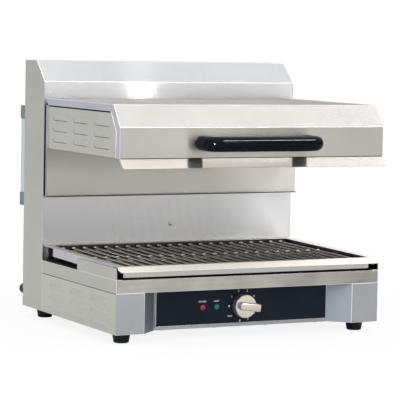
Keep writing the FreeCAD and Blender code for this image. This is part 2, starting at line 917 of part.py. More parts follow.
def spacer_caps():
    low = floor + d.spacer_low
    high = low + d.spacer_length
    caps = []
    for side in (-1, 1):
        for z in ((low, low + d.spacer_cap), (high - d.spacer_cap, high)):
            caps.append(slab(span(side, half - d.spacer_width, half), (rear, rear + d.spacer_depth), z))
    return node(grouped(caps), "spacer_caps")


def rear_bumpers():
    z = floor + d.bumper_height
    return node(grouped([
        rod("y", (side * (half - d.bumper_inset), rear, z), d.spacer_depth, d.bumper_radius,
            d.bumper_tip_radius) for side in (-1, 1)]), "rear_bumpers")


# Tray guides
tray_y = front + d.tray_setback
tray_z = deck + d.runner_height
tray_depth = wall - d.tray_wall_gap - d.rim_back - tray_y
rim_half = half - d.rim_side_gap
tray_half = rim_half - d.rim_width
lip_half = half - d.lip_side_gap
slope = tangent(d.tray_tilt)


def guide_plate(side, name):
    along = (front, front + d.guide_length)
    upright = slab(span(side, half - d.skin, half), along, (deck, deck + d.guide_height))
    foot = slab(span(side, half - d.guide_foot, half), along, (deck, deck + d.skin))
    return node(fused([upright, foot]), name)


def tray_runner(side, name):
    """A strip that rises to the rear, so that fat runs to the front of the tray"""
    near = tray_y + d.runner_setback
    far = tray_y + tray_depth - d.runner_setback
    near_z = tray_z + slope * d.runner_setback
    far_z = tray_z + slope * (tray_depth - d.runner_setback)
    outline = [(near, deck), (far, deck), (far, far_z), (near, near_z)]
    low = side * (half - d.runner_inset) - d.runner_width / 2
    return node(plate("YZ_Plane", outline, low, d.runner_width), name)


def tilted(thing):
    """Set a piece of the tray, made level about its own front edge, on the sloping runners"""
    thing.Placement.Rotation = FreeCAD.Rotation(FreeCAD.Vector(1, 0, 0), number(d.tray_tilt))
    bind(thing, "Placement.Rotation.Angle", d.tray_tilt)
    return put(thing, 0, tray_y, tray_z)


def drip_pan():
    wide, deep, tall = tray_half, tray_depth, d.tray_height
    outside = slab((-wide, wide), (0, deep), (0, tall))
    rim = slab((-rim_half, rim_half), (-d.tray_setback, deep + d.rim_back), (tall - d.skin, tall))
    pieces = [outside, rim]
    edge = tall - d.skirt_height
    along = (d.tray_setback, deep - d.skirt_stop)
    for side in (-1, 1):
        pieces.append(slab(span(side, rim_half - d.skin, rim_half), along, (edge, tall)))
        pieces.append(slab(span(side, rim_half - d.skin, rim_half + d.skirt_flange), along,
                           (edge, edge + d.skin)))
    lip_line = [(-d.tray_setback, tall), (-d.tray_setback - d.lip_reach, tall - d.lip_drop)]
    lip = folded_wide(lip_line, 2 * lip_half)
    low_edge = number(tall - d.lip_drop) + NEAR
    round_corners(lip, d.lip_corner, lambda middle, length:
                  middle.z < low_edge and abs(middle.x) > number(lip_half) - NEAR)
    pieces.append(lip)
    hollow = slab((d.skin - wide, wide - d.skin), (d.skin, deep - d.skin), (d.skin, tall))
    return node(tilted(trimmed(fused(pieces), [hollow])), "drip_pan")


def wire_grid():
    """Rods over three cross-bars on short legs, each touching the next where it is spot welded"""
    near = d.skin + d.grid_margin
    far = tray_depth - d.skin - d.grid_margin
    wire_z = d.wire_top - d.wire_radius
    cross_z = wire_z - d.wire_radius - d.cross_radius
    cross_half = tray_half - d.skin - d.grid_margin
    foot_x = cross_half - 2 * d.grid_leg_radius
    count = fitting(2 * (foot_x - d.grid_leg_radius), 2 * d.wire_radius, d.wire_pitch)
    pieces = [rod("y", ((index - (count - 1) / 2) * d.wire_pitch, near, wire_z), far - near, d.wire_radius)
              for index in range(count)]
    for y in (near + d.cross_margin, (near + far) / 2, far - d.cross_margin):
        pieces.append(rod("x", (-cross_half, y, cross_z), 2 * cross_half, d.cross_radius))
        for side in (-1, 1):
            pieces.append(rod("z", (side * foot_x, y, d.skin), cross_z - d.cross_radius - d.skin,
                              d.grid_leg_radius))
    return node(tilted(grouped(pieces)), "wire_grid")


# Hood
hood_flange_z = hood_top - d.hood_top_flange
hood_slope_low = hood_top - d.hood_slope_drop
hood_line = [
    (hood_rear, hood_flange_z), (hood_rear, hood_top), (hood_face + d.hood_slope_run, hood_top),
    (hood_face, hood_slope_low), (hood_face, hood_low),
]
hood_inside = beside(hood_line, d.skin)
handle_z = hood_top - d.handle_drop
leg_x = d.handle_width / 2 - d.handle_radius


def hood_cover():
    body = folded_wide(hood_line, 2 * half)
    inner = beside(hood_line, d.hood_front_flange)
    reach = (hood_flange_z - inner[3][1]) * d.hood_slope_run / d.hood_slope_drop
    outline = [hood_line[1], hood_line[2], hood_line[3], hood_line[4], inner[4], inner[3],
               (inner[3][0] + reach, hood_flange_z), (hood_rear - d.hood_top_flange, hood_flange_z)]
    add_cheeks(body, outline)
    holes = new_sketch(body, "XZ_Plane")
    bind(holes, "AttachmentOffset.Base.z", -hood_face - d.hood_slope_run)
    for side in (-1, 1):
        draw_circle(holes, side * leg_x, handle_z, d.handle_screw_radius + d.running_fit)
    cut = body.newObject("PartDesign::Pocket", "ScrewHoles")
    cut.Profile = holes
    cut.Reversed = True
    bind(cut, "Length", 2 * d.hood_slope_run)
    return node(body, "hood_cover")


def hood_side(side, name):
    outline = [(shield_y, hood_low), (shield_y, hood_top - d.skin)] + hood_inside[2:]
    body = louvred_panel(side, half - 2 * d.skin, outline, front + d.louvre_front,
                         hood_low + d.hood_louvre_low, shield_y, hood_top)
    return node(body, name)


def rear_shield():
    line = [(hood_rear, hood_flange_z), (shield_y, hood_flange_z), (shield_y, shield_low),
            (wall - d.shield_wall_gap, shield_low)]
    body = folded_wide(line, 2 * half)
    near = hood_rear - d.hood_back_flange
    add_cheeks(body, [(near, hood_low), (shield_y, hood_low), (shield_y, shield_low),
                      (hood_rear, shield_low), (hood_rear, hood_flange_z), (near, hood_flange_z)])
    return node(body, "rear_shield")


def hood_deflector():
    tip_y, tip_z = hood_face - d.deflector_reach, hood_low - d.deflector_drop
    back_y = hood_face + d.skin
    line = [(back_y, hood_low + d.deflector_hem), (back_y, hood_low), (tip_y, tip_z)]
    body = folded_wide(line, 2 * half)
    notches = new_sketch(body, "XZ_Plane")
    for side in (-1, 1):
        inner, outer = span(side, half - 2 * d.skin, half)
        draw_outline(notches, [(inner, hood_low), (outer, hood_low),
                               (outer, hood_low + d.deflector_hem), (inner, hood_low + d.deflector_hem)])
    add_pocket(body, notches)
    round_corners(body, d.deflector_corner, lambda middle, length:
                  middle.z < number(tip_z) + NEAR and abs(middle.x) > number(half) - NEAR)
    return node(body, "hood_deflector")


burner_half = half - 2 * d.skin - d.reflector_inset
burner_y = (hood_face + 2 * d.skin + d.reflector_inset, shield_y - d.reflector_inset)
burner_z = (hood_low + d.reflector_seat, hood_low + d.reflector_seat + d.reflector_height)
element_z = burner_z[1] - d.skin - d.element_drop
element_zone = (burner_half - d.skin) / 2
element_rows = (burner_y[0] + d.skin + d.element_gap + d.element_pitch / 2,
                burner_y[1] - d.skin - d.element_gap - d.element_pitch / 2)
element_end = burner_y[1] + d.element_tail


def element_xs(side):
    count = SIZES["element_runs"]
    return [side * element_zone + (index - (count - 1) / 2) * d.element_pitch for index in range(count)]


def reflector():
    box = slab((-burner_half, burner_half), burner_y, burner_z)
    rim = slab((2 * d.skin - half, half - 2 * d.skin), (hood_face + 2 * d.skin, shield_y),
               (burner_z[0], burner_z[0] + d.skin))
    hollow = slab((d.skin - burner_half, burner_half - d.skin),
                  (burner_y[0] + d.skin, burner_y[1] - d.skin), (burner_z[0], burner_z[1] - d.skin))
    tools = [hollow]
    for side in (-1, 1):
        ends = element_xs(side)
        for x in (ends[0], ends[-1]):
            tools.append(rod("y", (x, burner_y[1] - 2 * d.skin, element_z), 3 * d.skin,
                             d.bead_radius + d.running_fit))
    return node(trimmed(fused([box, rim]), tools), "reflector")


def insulation_blanket():
    inset = d.blanket_inset
    return node(slab((inset - burner_half, burner_half - inset), (burner_y[0] + inset, burner_y[1] - inset),
                     (burner_z[1], burner_z[1] + d.blanket_thickness)), "insulation_blanket")


def heating_element(side, name):
    """A tube heater laid back and forth, with half-ring bends between its runs"""
    xs = element_xs(side)
    near, far = element_rows
    pieces = []
    for index, x in enumerate(xs):
        end = element_end if index in (0, len(xs) - 1) else far
        pieces.append(rod("y", (x, near, element_z), end - near, d.element_radius))
    for index in range(len(xs) - 1):
        at_front = index % 2 == 0
        centre = ((xs[index] + xs[index + 1]) / 2, near if at_front else far, element_z)
        turn = FreeCAD.Rotation(FreeCAD.Vector(0, 0, 1), 180 if at_front else 0)
        pieces.append(bend(centre, d.element_pitch / 2, d.element_radius, turn, 180))
    return node(fused(pieces), name)


def element_beads():
    beads = []
    start = burner_y[1] - d.skin - d.bead_proud
    long = d.skin + 2 * d.bead_proud
    for side in (-1, 1):
        ends = element_xs(side)
        for x in (ends[0], ends[-1]):
            bead = rod("y", (x, start, element_z), long, d.bead_radius)
            bore = rod("y", (x, start, element_z), long, d.element_radius + d.running_fit)
            beads.append(trimmed(bead, [bore]))
    return node(grouped(beads), "element_beads")


def element_supports():
    top = element_z - d.element_radius
    inner = burner_half - d.skin
    bars = []
    for y in element_rows:
        bars.append(slab((-inner, inner), (y - d.support_width / 2, y + d.support_width / 2),
                         (top - d.support_thickness, top)))
    return node(grouped(bars), "element_supports")


def handle():
    bar_y = hood_face - d.handle_reach + d.handle_radius
    bar_end = leg_x - d.handle_bend
    leg_y = bar_y + d.handle_bend
    bar = rod("x", (-bar_end, bar_y, handle_z), 2 * bar_end, d.handle_radius)
    pieces = [bar]
    for side in (-1, 1):
        pieces.append(rod("y", (side * leg_x, leg_y, handle_z), hood_face - leg_y, d.handle_radius))
        turn = FreeCAD.Rotation(FreeCAD.Vector(0, 0, 1), -90 if side > 0 else 180)
        pieces.append(bend((side * bar_end, leg_y, handle_z), d.handle_bend, d.handle_radius, turn, 90))
    bores = [rod("y", (side * leg_x, hood_face - d.handle_screw_depth, handle_z), d.handle_screw_depth,
                 d.handle_screw_radius + d.running_fit) for side in (-1, 1)]
    return node(trimmed(fused(pieces), bores), "handle")


def handle_screws():
    screws = []
    for side in (-1, 1):
        x = side * leg_x
        shank = rod("y", (x, hood_face - d.handle_screw_depth, handle_z), d.handle_screw_depth + d.skin,
                    d.handle_screw_radius)
        head = rod("y", (x, hood_face + d.skin, handle_z), d.handle_washer, d.handle_washer_radius)
        screws.append(fused([shank, head]))
    return node(grouped(screws), "handle_screws")


# Lift inside the column
lift_y = wall + d.lift_setback
block_y = (lift_y - d.block_depth / 2, lift_y + d.block_depth / 2)
block_z = (hood_top - d.block_drop - d.block_height, hood_top - d.block_drop)
bush_radius = d.lift_rod_radius + d.bush_wall
tie_z = (block_z[1] - d.bush_length * 2 - d.tie_thickness, block_z[1] - d.bush_length * 2)
spring_y = block_y[1] + d.tie_depth / 2
spring_low = floor + d.skin
spring_length = tie_z[0] - d.hood_travel - d.spring_head_gap - spring_low


def lift_rods():
    return node(grouped([rod("z", (side * d.lift_spread, lift_y, rod_z[0]), d.lift_rod_length,
                             d.lift_rod_radius) for side in (-1, 1)]), "lift_rods")


def rod_beam(low, name):
    across = (-column_half, column_half)
    beam = slab(across, (wall + d.skin, lift_y + d.beam_depth / 2), (low, low + d.beam_height))
    seats = [rod("z", (side * d.lift_spread, lift_y, low), d.beam_height, d.lift_rod_radius + d.running_fit)
             for side in (-1, 1)]
    return node(trimmed(beam, seats), name)


def lift_block(side, name):
    x = side * d.lift_spread
    block = slab((x - d.block_width / 2, x + d.block_width / 2), block_y, block_z)
    bore = rod("z", (x, lift_y, block_z[0]), d.block_height, bush_radius + d.running_fit)
    return node(trimmed(block, [bore]), name)


def lift_bushes():
    bushes = []
    for side in (-1, 1):
        for z in (block_z[0], block_z[1] - d.bush_length):
            start = (side * d.lift_spread, lift_y, z)
            bushes.append(trimmed(rod("z", start, d.bush_length, bush_radius),
                                  [rod("z", start, d.bush_length, d.lift_rod_radius + d.running_fit)]))
    return node(grouped(bushes), "lift_bushes")


def lift_arm(side, name):
    x = side * d.lift_spread
    low, high = arm_z
    arm = slab((x - d.arm_thickness / 2, x + d.arm_thickness / 2), (shield_back, block_y[0]), (low, high))
    foot = slab((x - d.arm_plate_width / 2, x + d.arm_plate_width / 2),
                (shield_back, shield_back + d.arm_plate_thickness), (low, high))
    return node(fused([arm, foot]), name)


def arm_bolts():
    bolts = []
    y = shield_back + d.arm_plate_thickness
    low, high = arm_z
    for side in (-1, 1):
        for across in (-1, 1):
            x = side * d.lift_spread + across * d.bolt_spread
            for z in (low + 2 * d.bolt_radius, high - 2 * d.bolt_radius):
                bolts.append(prism((x, y, z), d.bolt_head, d.bolt_radius))
    return node(grouped(bolts), "arm_bolts")


def cross_tie():
    reach = d.lift_spread + d.block_width / 2
    return node(slab((-reach, reach), (block_y[1], block_y[1] + d.tie_depth), tie_z), "cross_tie")


def spring_cylinders():
    tubes = []
    for side in (-1, 1):
        place = (side * d.spring_spread, spring_y)
        tube = rod("z", place + (spring_low,), spring_length, d.spring_radius)
        chamber = rod("z", place + (spring_low + d.spring_wall,), spring_length - 3 * d.spring_wall,
                      d.spring_radius - d.spring_wall)
        mouth = rod("z", place + (spring_low + d.spring_wall,), spring_length - d.spring_wall,
                    d.spring_rod_radius + d.running_fit)
        tubes.append(trimmed(tube, [fused([chamber, mouth])]))
    return node(grouped(tubes), "spring_cylinders")


def spring_rods():
    rods = []
    low = spring_low + d.spring_wall + d.hood_travel + d.spring_stroke_spare
    for side in (-1, 1):
        place = (side * d.spring_spread, spring_y, low)
        stem = rod("z", place, tie_z[0] - low, d.spring_rod_radius)
        piston = rod("z", place, d.piston_height, d.spring_radius - d.spring_wall - d.running_fit)
        rods.append(fused([stem, piston]))
    return node(grouped(rods), "spring_rods")


def both_sides(maker, name):
    maker(-1, name + "_left")
    maker(1, name + "_right")


floor_plate()
both_sides(base_side, "base_side")
front_fascia()
top_frame()
control_plate()
panel_surround()
signal_lamp(d.power_lamp_offset, "power_lamp")
signal_lamp(d.heat_lamp_offset, "heat_lamp")
lamp_bodies()
energy_regulator()
regulator_shaft()
control_knob()
terminal_block()
cable_gland()
gland_nut()
rubber_feet()
foot_studs()
base_screws()
both_sides(column_side, "column_side")
column_front()
column_rear()
rear_screws()
wall_screw()
wall_spacers()
spacer_caps()
rear_bumpers()
both_sides(guide_plate, "guide_plate")
both_sides(tray_runner, "tray_runner")
drip_pan()
wire_grid()
hood_cover()
both_sides(hood_side, "hood_side")
rear_shield()
hood_deflector()
reflector()
insulation_blanket()
both_sides(heating_element, "heating_element")
element_beads()
element_supports()
handle()
handle_screws()
lift_rods()
rod_beam(rod_z[0], "rod_beam_lower")
rod_beam(rod_z[1] - d.beam_height, "rod_beam_upper")
both_sides(lift_block, "lift_block")
lift_bushes()
both_sides(lift_arm, "lift_arm")
arm_bolts()
cross_tie()
spring_cylinders()
spring_rods()
doc.recompute()

# Every feature has to be sound before anything is written
for thing in doc.Objects:
    if {"Invalid", "Error"} & set(thing.State):
        raise RuntimeError("%s failed: %s" % (thing.Label, thing.State))
for thing in nodes:
    if thing.Shape.isNull() or not thing.Shape.isValid() or not thing.Shape.Solids:
        raise RuntimeError("%s has no sound solid" % thing.Label)

os.makedirs("parts", exist_ok=True)
for thing in nodes:
    thing.Shape.exportStep(os.path.join("parts", thing.Label + ".step"))
print("%d sub-parts written" % len(nodes))
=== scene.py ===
import math
import bmesh
import bpy
from mathutils import Matrix, Vector


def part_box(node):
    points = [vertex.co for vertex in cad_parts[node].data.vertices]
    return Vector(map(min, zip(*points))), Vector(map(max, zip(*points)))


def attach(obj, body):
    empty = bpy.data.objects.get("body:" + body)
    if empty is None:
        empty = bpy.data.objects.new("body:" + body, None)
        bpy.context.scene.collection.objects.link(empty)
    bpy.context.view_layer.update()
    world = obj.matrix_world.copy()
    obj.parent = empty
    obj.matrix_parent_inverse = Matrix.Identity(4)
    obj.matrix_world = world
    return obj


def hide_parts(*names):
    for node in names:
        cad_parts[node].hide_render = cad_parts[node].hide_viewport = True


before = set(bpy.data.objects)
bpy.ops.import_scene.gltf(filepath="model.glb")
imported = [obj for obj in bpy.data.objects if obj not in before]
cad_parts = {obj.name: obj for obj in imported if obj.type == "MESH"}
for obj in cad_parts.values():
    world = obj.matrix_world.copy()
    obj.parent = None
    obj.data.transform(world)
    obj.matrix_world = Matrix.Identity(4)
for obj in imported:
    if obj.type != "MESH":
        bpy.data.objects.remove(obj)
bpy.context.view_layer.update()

MM = 0.001
SHEET = 1.2 * MM
# Points nearer than this are one point, in meshes made here and in the frame's
MERGE, WELD = 0.001 * MM, 0.005 * MM
# Faces that turn less than this are one flat face
FLAT = math.radians(0.4)
# A fold is at least this long and turns at least this far, and is rounded less on its inside
FOLD_LENGTH, FOLD_TURN, INNER_FOLD = 6 * MM, math.radians(12), 0.4
SIDES = ((-1, "left"), (1, "right"))


def corner_low(node):
    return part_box(node)[0]


def corner_high(node):
    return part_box(node)[1]


# Places read from the frame
half = corner_high("column_side_right").x
front = corner_low("top_frame").y
wall = corner_low("column_side_left").y
rear = corner_high("column_side_left").y
floor_z = corner_low("base_side_left").z
deck = corner_high("top_frame").z
panel_y = corner_low("control_plate").y
dial_z = (corner_low("power_lamp").z + corner_high("power_lamp").z) / 2
hood_low = corner_low("hood_side_left").z
hood_top = corner_high("hood_cover").z
hood_face = corner_low("hood_cover").y


# Materials
# The Mix node has a pair of inputs and an output for each kind of value
SHARE = 0
FLOAT_A, FLOAT_B = 2, 3
VECTOR_A, VECTOR_B, VECTOR_OUT = 4, 5, 1
COLOUR_A, COLOUR_B, COLOUR_OUT = 6, 7, 2


def linear(text):
    """A colour written as sRGB hex, in the linear values that the shaders take"""
    values = [int(text[index:index + 2], 16) / 255 for index in (0, 2, 4)]
    return [value / 12.92 if value <= 0.04045 else ((value + 0.055) / 1.055) ** 2.4
            for value in values] + [1]


def add(tree, kind, inputs=None, **settings):
    """A node with its settings, each input given a value, a socket or a node's first output"""
    made = tree.nodes.new("ShaderNode" + kind)
    for key, value in settings.items():
        setattr(made, key, value)
    for key, value in (inputs or {}).items():
        if isinstance(value, bpy.types.Node):
            value = value.outputs[0]
        if isinstance(value, bpy.types.NodeSocket):
            tree.links.new(value, made.inputs[key])
        else:
            made.inputs[key].default_value = value
    return made


def blank(name):
    made = bpy.data.materials.new(name)
    made.use_nodes = True
    made.node_tree.nodes.clear()
    return made, made.node_tree


def grained(name, dark, light, lump, gloss, relief=0.0, stretch=(1, 1, 1), surface=None):
    """A finish whose colour, gloss and relief follow one grain, its lumps and relief in mm"""
    made, tree = blank(name)
    place = add(tree, "TexCoord").outputs["Object"]
    scale = [part / (lump * MM) for part in stretch]
    drawn = add(tree, "Mapping", {"Vector": place, "Scale": scale})
    grain = add(tree, "TexNoise", {"Vector": drawn, "Scale": 1.0, "Detail": 3.0})
    level = add(tree, "MapRange", {"Value": grain, "From Min": 0.3, "From Max": 0.7})
    colour = add(tree, "Mix", {SHARE: level, COLOUR_A: linear(dark), COLOUR_B: linear(light)},
                 data_type="RGBA").outputs[COLOUR_OUT]
    polish = add(tree, "MapRange", {"Value": level, "To Min": gloss[0], "To Max": gloss[1]})
    facts = {"Base Color": colour, "Roughness": polish, **(surface or {})}
    if relief:
        facts["Normal"] = add(tree, "Bump", {"Height": grain, "Distance": relief * MM,
                                             "Strength": 0.5})
    add(tree, "OutputMaterial", {"Surface": add(tree, "BsdfPrincipled", facts)})
    return made


def brushed_steel(name, front_tones, side_tones, top_tones, polish=0.24, crisp=0.74):
    """Cold-rolled stainless sheet, belt brushed along each face

    It is nearly a mirror along its grain and throws every reflection far up and down across
    it, so legs and lamps turn into upright bands. Sheets that face sideways and those that face
    up get their own tones: painted shade and reflection, set by the way each face is turned.
    """
    made, tree = blank(name)
    place = add(tree, "TexCoord").outputs["Object"]
    normal = add(tree, "NewGeometry").outputs["Normal"]
    facing = add(tree, "SeparateXYZ", {0: normal})
    steep = add(tree, "Math", {0: facing.outputs["X"]}, operation="ABSOLUTE")
    sideways = add(tree, "Math", {0: steep, 1: 0.7}, operation="GREATER_THAN")
    upward_share = add(tree, "MapRange", {"Value": facing.outputs["Z"],
                                          "From Min": 0.3, "From Max": 0.5})
    # The grain runs along X, or along Y on the sheets that face sideways
    grain = add(tree, "Mix", {SHARE: sideways, VECTOR_A: (1, 0, 0), VECTOR_B: (0, 1, 0)},
                data_type="VECTOR").outputs[VECTOR_OUT]
    across = add(tree, "VectorMath", {0: normal, 1: grain}, operation="CROSS_PRODUCT")
    axes = add(tree, "SeparateXYZ", {0: place})
    swapped = add(tree, "CombineXYZ", {"X": axes.outputs["Y"], "Y": axes.outputs["X"],
                                       "Z": axes.outputs["Z"]})
    along = add(tree, "Mix", {SHARE: sideways, VECTOR_A: place, VECTOR_B: swapped},
                data_type="VECTOR").outputs[VECTOR_OUT]
    # Belt scratches are 0.1 mm apart, drawn 0.8 mm apart so that they show
    line_place = add(tree, "Mapping", {"Vector": along, "Scale": (6, 1250, 1250)})
    streaks = add(tree, "TexNoise", {"Vector": line_place, "Scale": 1.0, "Detail": 2.0})
    # Patches 80 mm wide where the sheet was wiped, and sheet that is flat to 0.15 mm over 70 mm
    patches = add(tree, "TexNoise", {"Vector": place, "Scale": 12.0, "Detail": 2.0})
    wave_place = add(tree, "Mapping", {"Vector": along, "Scale": (14, 5, 5)})
    waves = add(tree, "TexNoise", {"Vector": wave_place, "Scale": 1.0, "Detail": 1.0})
    wavy = add(tree, "Bump", {"Height": waves, "Distance": 0.15 * MM, "Strength": 0.35})
    both = add(tree, "Math", {0: streaks, 1: 0.45, 2: patches}, operation="MULTIPLY_ADD")
    level = add(tree, "MapRange", {"Value": both, "From Min": 0.42, "From Max": 1.02})
    # Front, side and top tones, mixed by the way each face is turned: painted shade and reflection
    tones = [add(tree, "Mix", {SHARE: level, COLOUR_A: linear(dark), COLOUR_B: linear(light)},
                 data_type="RGBA").outputs[COLOUR_OUT]
             for dark, light in (front_tones, side_tones, top_tones)]
    walls = add(tree, "Mix", {SHARE: sideways, COLOUR_A: tones[0], COLOUR_B: tones[1]},
                data_type="RGBA").outputs[COLOUR_OUT]
    tone = add(tree, "Mix", {SHARE: upward_share, COLOUR_A: walls, COLOUR_B: tones[2]},
               data_type="RGBA").outputs[COLOUR_OUT]
    gloss = add(tree, "MapRange", {"Value": level, "To Min": polish - 0.01,
                                   "To Max": polish + 0.01})
    surface = add(tree, "BsdfAnisotropic", {
        "Color": tone, "Roughness": gloss, "Anisotropy": -crisp, "Tangent": across,
        "Normal": wavy}, distribution="MULTI_GGX")
    add(tree, "OutputMaterial", {"Surface": surface})
    return made


def cut_lens(name, dark, light):
    """Clear tinted acrylic moulded with small facets behind, lit only by the room"""
    made, tree = blank(name)
    place = add(tree, "TexCoord").outputs["Object"]
    # Facets 1.4 mm wide
    cells = add(tree, "TexVoronoi", {"Vector": place, "Scale": 700.0})
    colour = add(tree, "Mix", {SHARE: cells, COLOUR_A: linear(dark), COLOUR_B: linear(light)},
                 data_type="RGBA").outputs[COLOUR_OUT]
    facets = add(tree, "Bump", {"Height": cells, "Distance": 0.2 * MM, "Strength": 0.3})
    gloss = add(tree, "MapRange", {"Value": cells, "To Min": 0.05, "To Max": 0.14})
    surface = add(tree, "BsdfPrincipled", {
        "Base Color": colour, "Roughness": gloss, "IOR": 1.49, "Coat Weight": 0.2,
        "Coat Roughness": 0.05, "Normal": facets})
    add(tree, "OutputMaterial", {"Surface": surface})
    return made


def needled_fibre():
    """Ceramic fibre mat: soft white, with loose tufts and no gloss"""
    made, tree = blank("needled_ceramic_fibre")
    place = add(tree, "TexCoord").outputs["Object"]
    # Needle tufts 4 mm apart, over strands of a few hundredths of a mm drawn 1 mm wide
    tufts = add(tree, "TexVoronoi", {"Vector": place, "Scale": 250.0})
    laid = add(tree, "Mapping", {"Vector": place, "Scale": (300, 900, 900)})
    strands = add(tree, "TexNoise", {"Vector": laid, "Scale": 1.0, "Detail": 4.0})
    colour = add(tree, "Mix", {SHARE: strands, COLOUR_A: linear("CFC9BB"),
                               COLOUR_B: linear("F0ECE2")}, data_type="RGBA")
    deep = add(tree, "Bump", {"Height": tufts, "Distance": 1.0 * MM, "Strength": 0.6})
    fine = add(tree, "Bump", {"Height": strands, "Distance": 0.4 * MM, "Strength": 0.7,
                              "Normal": deep})
    surface = add(tree, "BsdfPrincipled", {
        "Base Color": colour.outputs[COLOUR_OUT], "Roughness": 0.95, "Sheen Weight": 0.3,
        "Sheen Roughness": 0.6, "Normal": fine})
    add(tree, "OutputMaterial", {"Surface": surface})
    return made


METAL = {"Metallic": 1.0}
PLASTIC = {"IOR": 1.5}
NYLON = {"IOR": 1.53}
# Tones that several sheets share
GREENISH = ("BCBCB7", "C4C4BF")
LAVENDER = ("C0C1CB", "C8C9D3")
COOL_TOP = ("B0B0B0", "BABAB9")
WARM_TOP = ("A8A6A3", "B0AEAB")
CREAM = ("BBB5AE", "C3BEB7")
SCOURED = ("9BA1A9", "B0B6BE")
DULL_GREEN = ("BABBB8", "BFC0BD")
YELLOWED = ("CBC8C2", "D1CEC8")
STRAW = ("7C6C55", "A29178")

# 430 grade sheet: the casing cool in front and greener at its sides, a painted reflection set by
#                  the way each face is turned
casing_steel = brushed_steel("brushed_stainless_casing", ("96979A", "A0A1A4"), GREENISH, COOL_TOP)
# Hood: warm in front, its folded cheeks lavender, a painted reflection set by the way they face
hood_steel = brushed_steel("brushed_stainless_hood", ("A29F9A", "ADAAA5"), LAVENDER, WARM_TOP)
# Band round the deck: warm, smeared from wiping
band_steel = brushed_steel("brushed_stainless_band", ("817F7A", "B1AFA9"), GREENISH, COOL_TOP)
# Slanting returns beside the panel: scoured dull, so that the black panel barely shows in them
return_steel = brushed_steel("scoured_stainless_return", SCOURED, SCOURED, SCOURED, 0.55, 0.3)
# Deflector under the hood: creamier from its hem up
deflector_steel = brushed_steel("warm_stainless_deflector", CREAM, LAVENDER, CREAM)
# Louvred side panels: dull green-grey
panel_steel = brushed_steel("brushed_stainless_side_panel", DULL_GREEN, ("C4C4BF", "CBCBC6"),
                            DULL_GREEN)
# Wall behind the grill: bright annealed, a mirror for the lit rods along its grain
wall_steel = brushed_steel("bright_annealed_wall", ("CFCFD0", "D7D7D8"), ("BABAB5", "C2C2BD"),
                           ("ADAEAF", "B5B6B7"), 0.18, 0.88)
# Heat shield under the hood: bright annealed, yellowed
shield_steel = brushed_steel("bright_annealed_shield", YELLOWED, ("B1B2BE", "B9BAC6"), YELLOWED,
                             0.21, 0.86)
# Deep drawn tray and lip: pale from washing
tray_steel = brushed_steel("washed_stainless_tray", ("DCD9D3", "E4E1DC"), ("C2C3CC", "CACBD4"),
                           ("E4E0D9", "ECE8E1"), 0.5, 0.2)
# Front skirt of the tray: warm and darker than the tray, painted shade under the lip
skirt_under_lip_shade = brushed_steel("stainless_skirt_painted_shade", ("B3B0AB", "BEBBB6"), LAVENDER, WARM_TOP)
# Reflector over the heaters, straw coloured from the heat and darkened with painted shade inside
# the hood
reflector_steel = brushed_steel("heat_tint_and_shade_reflector", STRAW, STRAW, STRAW)
# Folds and cut edges: a thin white line along every bend and cut edge, a painted highlight
fold_painted_highlight = grained("fold_painted_highlight_steel", "E2E2E6", "F4F4F6", 2.0, (0.22, 0.34), surface=METAL)
# Zinc-plated pressed screws: light, slightly blue, mottled
zinc = grained("bright_zinc_plate", "B4B8BC", "D9DBDC", 1.1, (0.16, 0.3), surface=METAL)
# Chromed wire browned by the burner: smooth, with long clean highlights
wire = grained("heat_browned_chrome_wire", "9E9B96", "AFACA7", 20.0, (0.2, 0.26), surface=METAL)
# The cross bars and weld crests: nearly white and half diffuse, a painted highlight
cross_bar_painted_highlight = grained("cross_bar_painted_highlight_white", "E9E5DC", "FAF8F2", 6.0, (0.26, 0.34),
                      surface={"Metallic": 0.45})
# Pan, deck and the pan's underside darkened where the grid and tray cover them: painted shade, so
# that the rods stand out over them
pan_and_deck_shade = grained("pan_and_deck_painted_shade", "3A3735", "524E4B", 30.0, (0.3, 0.5),
                    surface={"Metallic": 0.7})
# Lower hem and cut edges of the shield: a thin dark line on the wall, a painted shadow under its
# edge
hem_painted_shadow = grained("shield_hem_painted_shadow", "55534F", "6B6964", 4.0, (0.4, 0.5), surface=METAL)
# The black lines beside the column and under the hood's front: painted shade in the gaps
gap_painted_shade = grained("gap_painted_shade_black", "0A0A0B", "161516", 8.0, (0.6, 0.8),
               surface={"Specular IOR Level": 0.1})
# Upright walls inside the pan, dark blue-grey: painted reflection and shade
pan_wall_painted_tint = grained("pan_wall_painted_reflection", "555970", "74789A", 25.0, (0.18, 0.3), surface=METAL)
# Phenolic handle from a polished mould: black and glassy
handle_black = grained("phenolic_black_grip", "010204", "030408", 16.0, (0.06, 0.1),
                       surface={"IOR": 1.5, "Specular IOR Level": 0.05})
# Carbon-filled moulded rubber: near black, dusty on its raised grain
rubber = grained("carbon_black_rubber", "0B0D14", "171B26", 1.4, (0.4, 0.62), 0.05,
                 surface={"IOR": 1.52, "Specular IOR Level": 0.25})
# Reverse-printed polycarbonate: blue-black, level, with a satin bloom
panel_black = grained("silk_printed_black_panel", "131A24", "1A212C", 70.0, (0.3, 0.38),
                      surface={"IOR": 1.5, "Specular IOR Level": 0.08})
# White screen ink: flat, slightly thin in places
ink = grained("white_screen_ink", "D4D7DB", "F4F5F6", 0.7, (0.5, 0.65), surface=PLASTIC)
# Acrylic lenses: clear red and teal with a glint in their facets
red_lens = cut_lens("red_acrylic_lens", "6A0510", "B8101C")
green_lens = cut_lens("green_acrylic_lens", "003B3D", "00776E")
# Vacuum-metallised ABS: warm silver with a soft veil over the shine
knob_silver = grained("metallised_abs_knob", "C2B9AC", "DAD2C6", 3.3, (0.1, 0.18), 0.02,
                      surface=METAL)
# The knob's flanks: satin plated, blue-grey and darker than its polished face, a painted
# reflection
knob_flank_painted_reflection = grained("flank_painted_reflection", "9496B8", "B8BAD6", 6.0, (0.48, 0.6), surface=METAL)
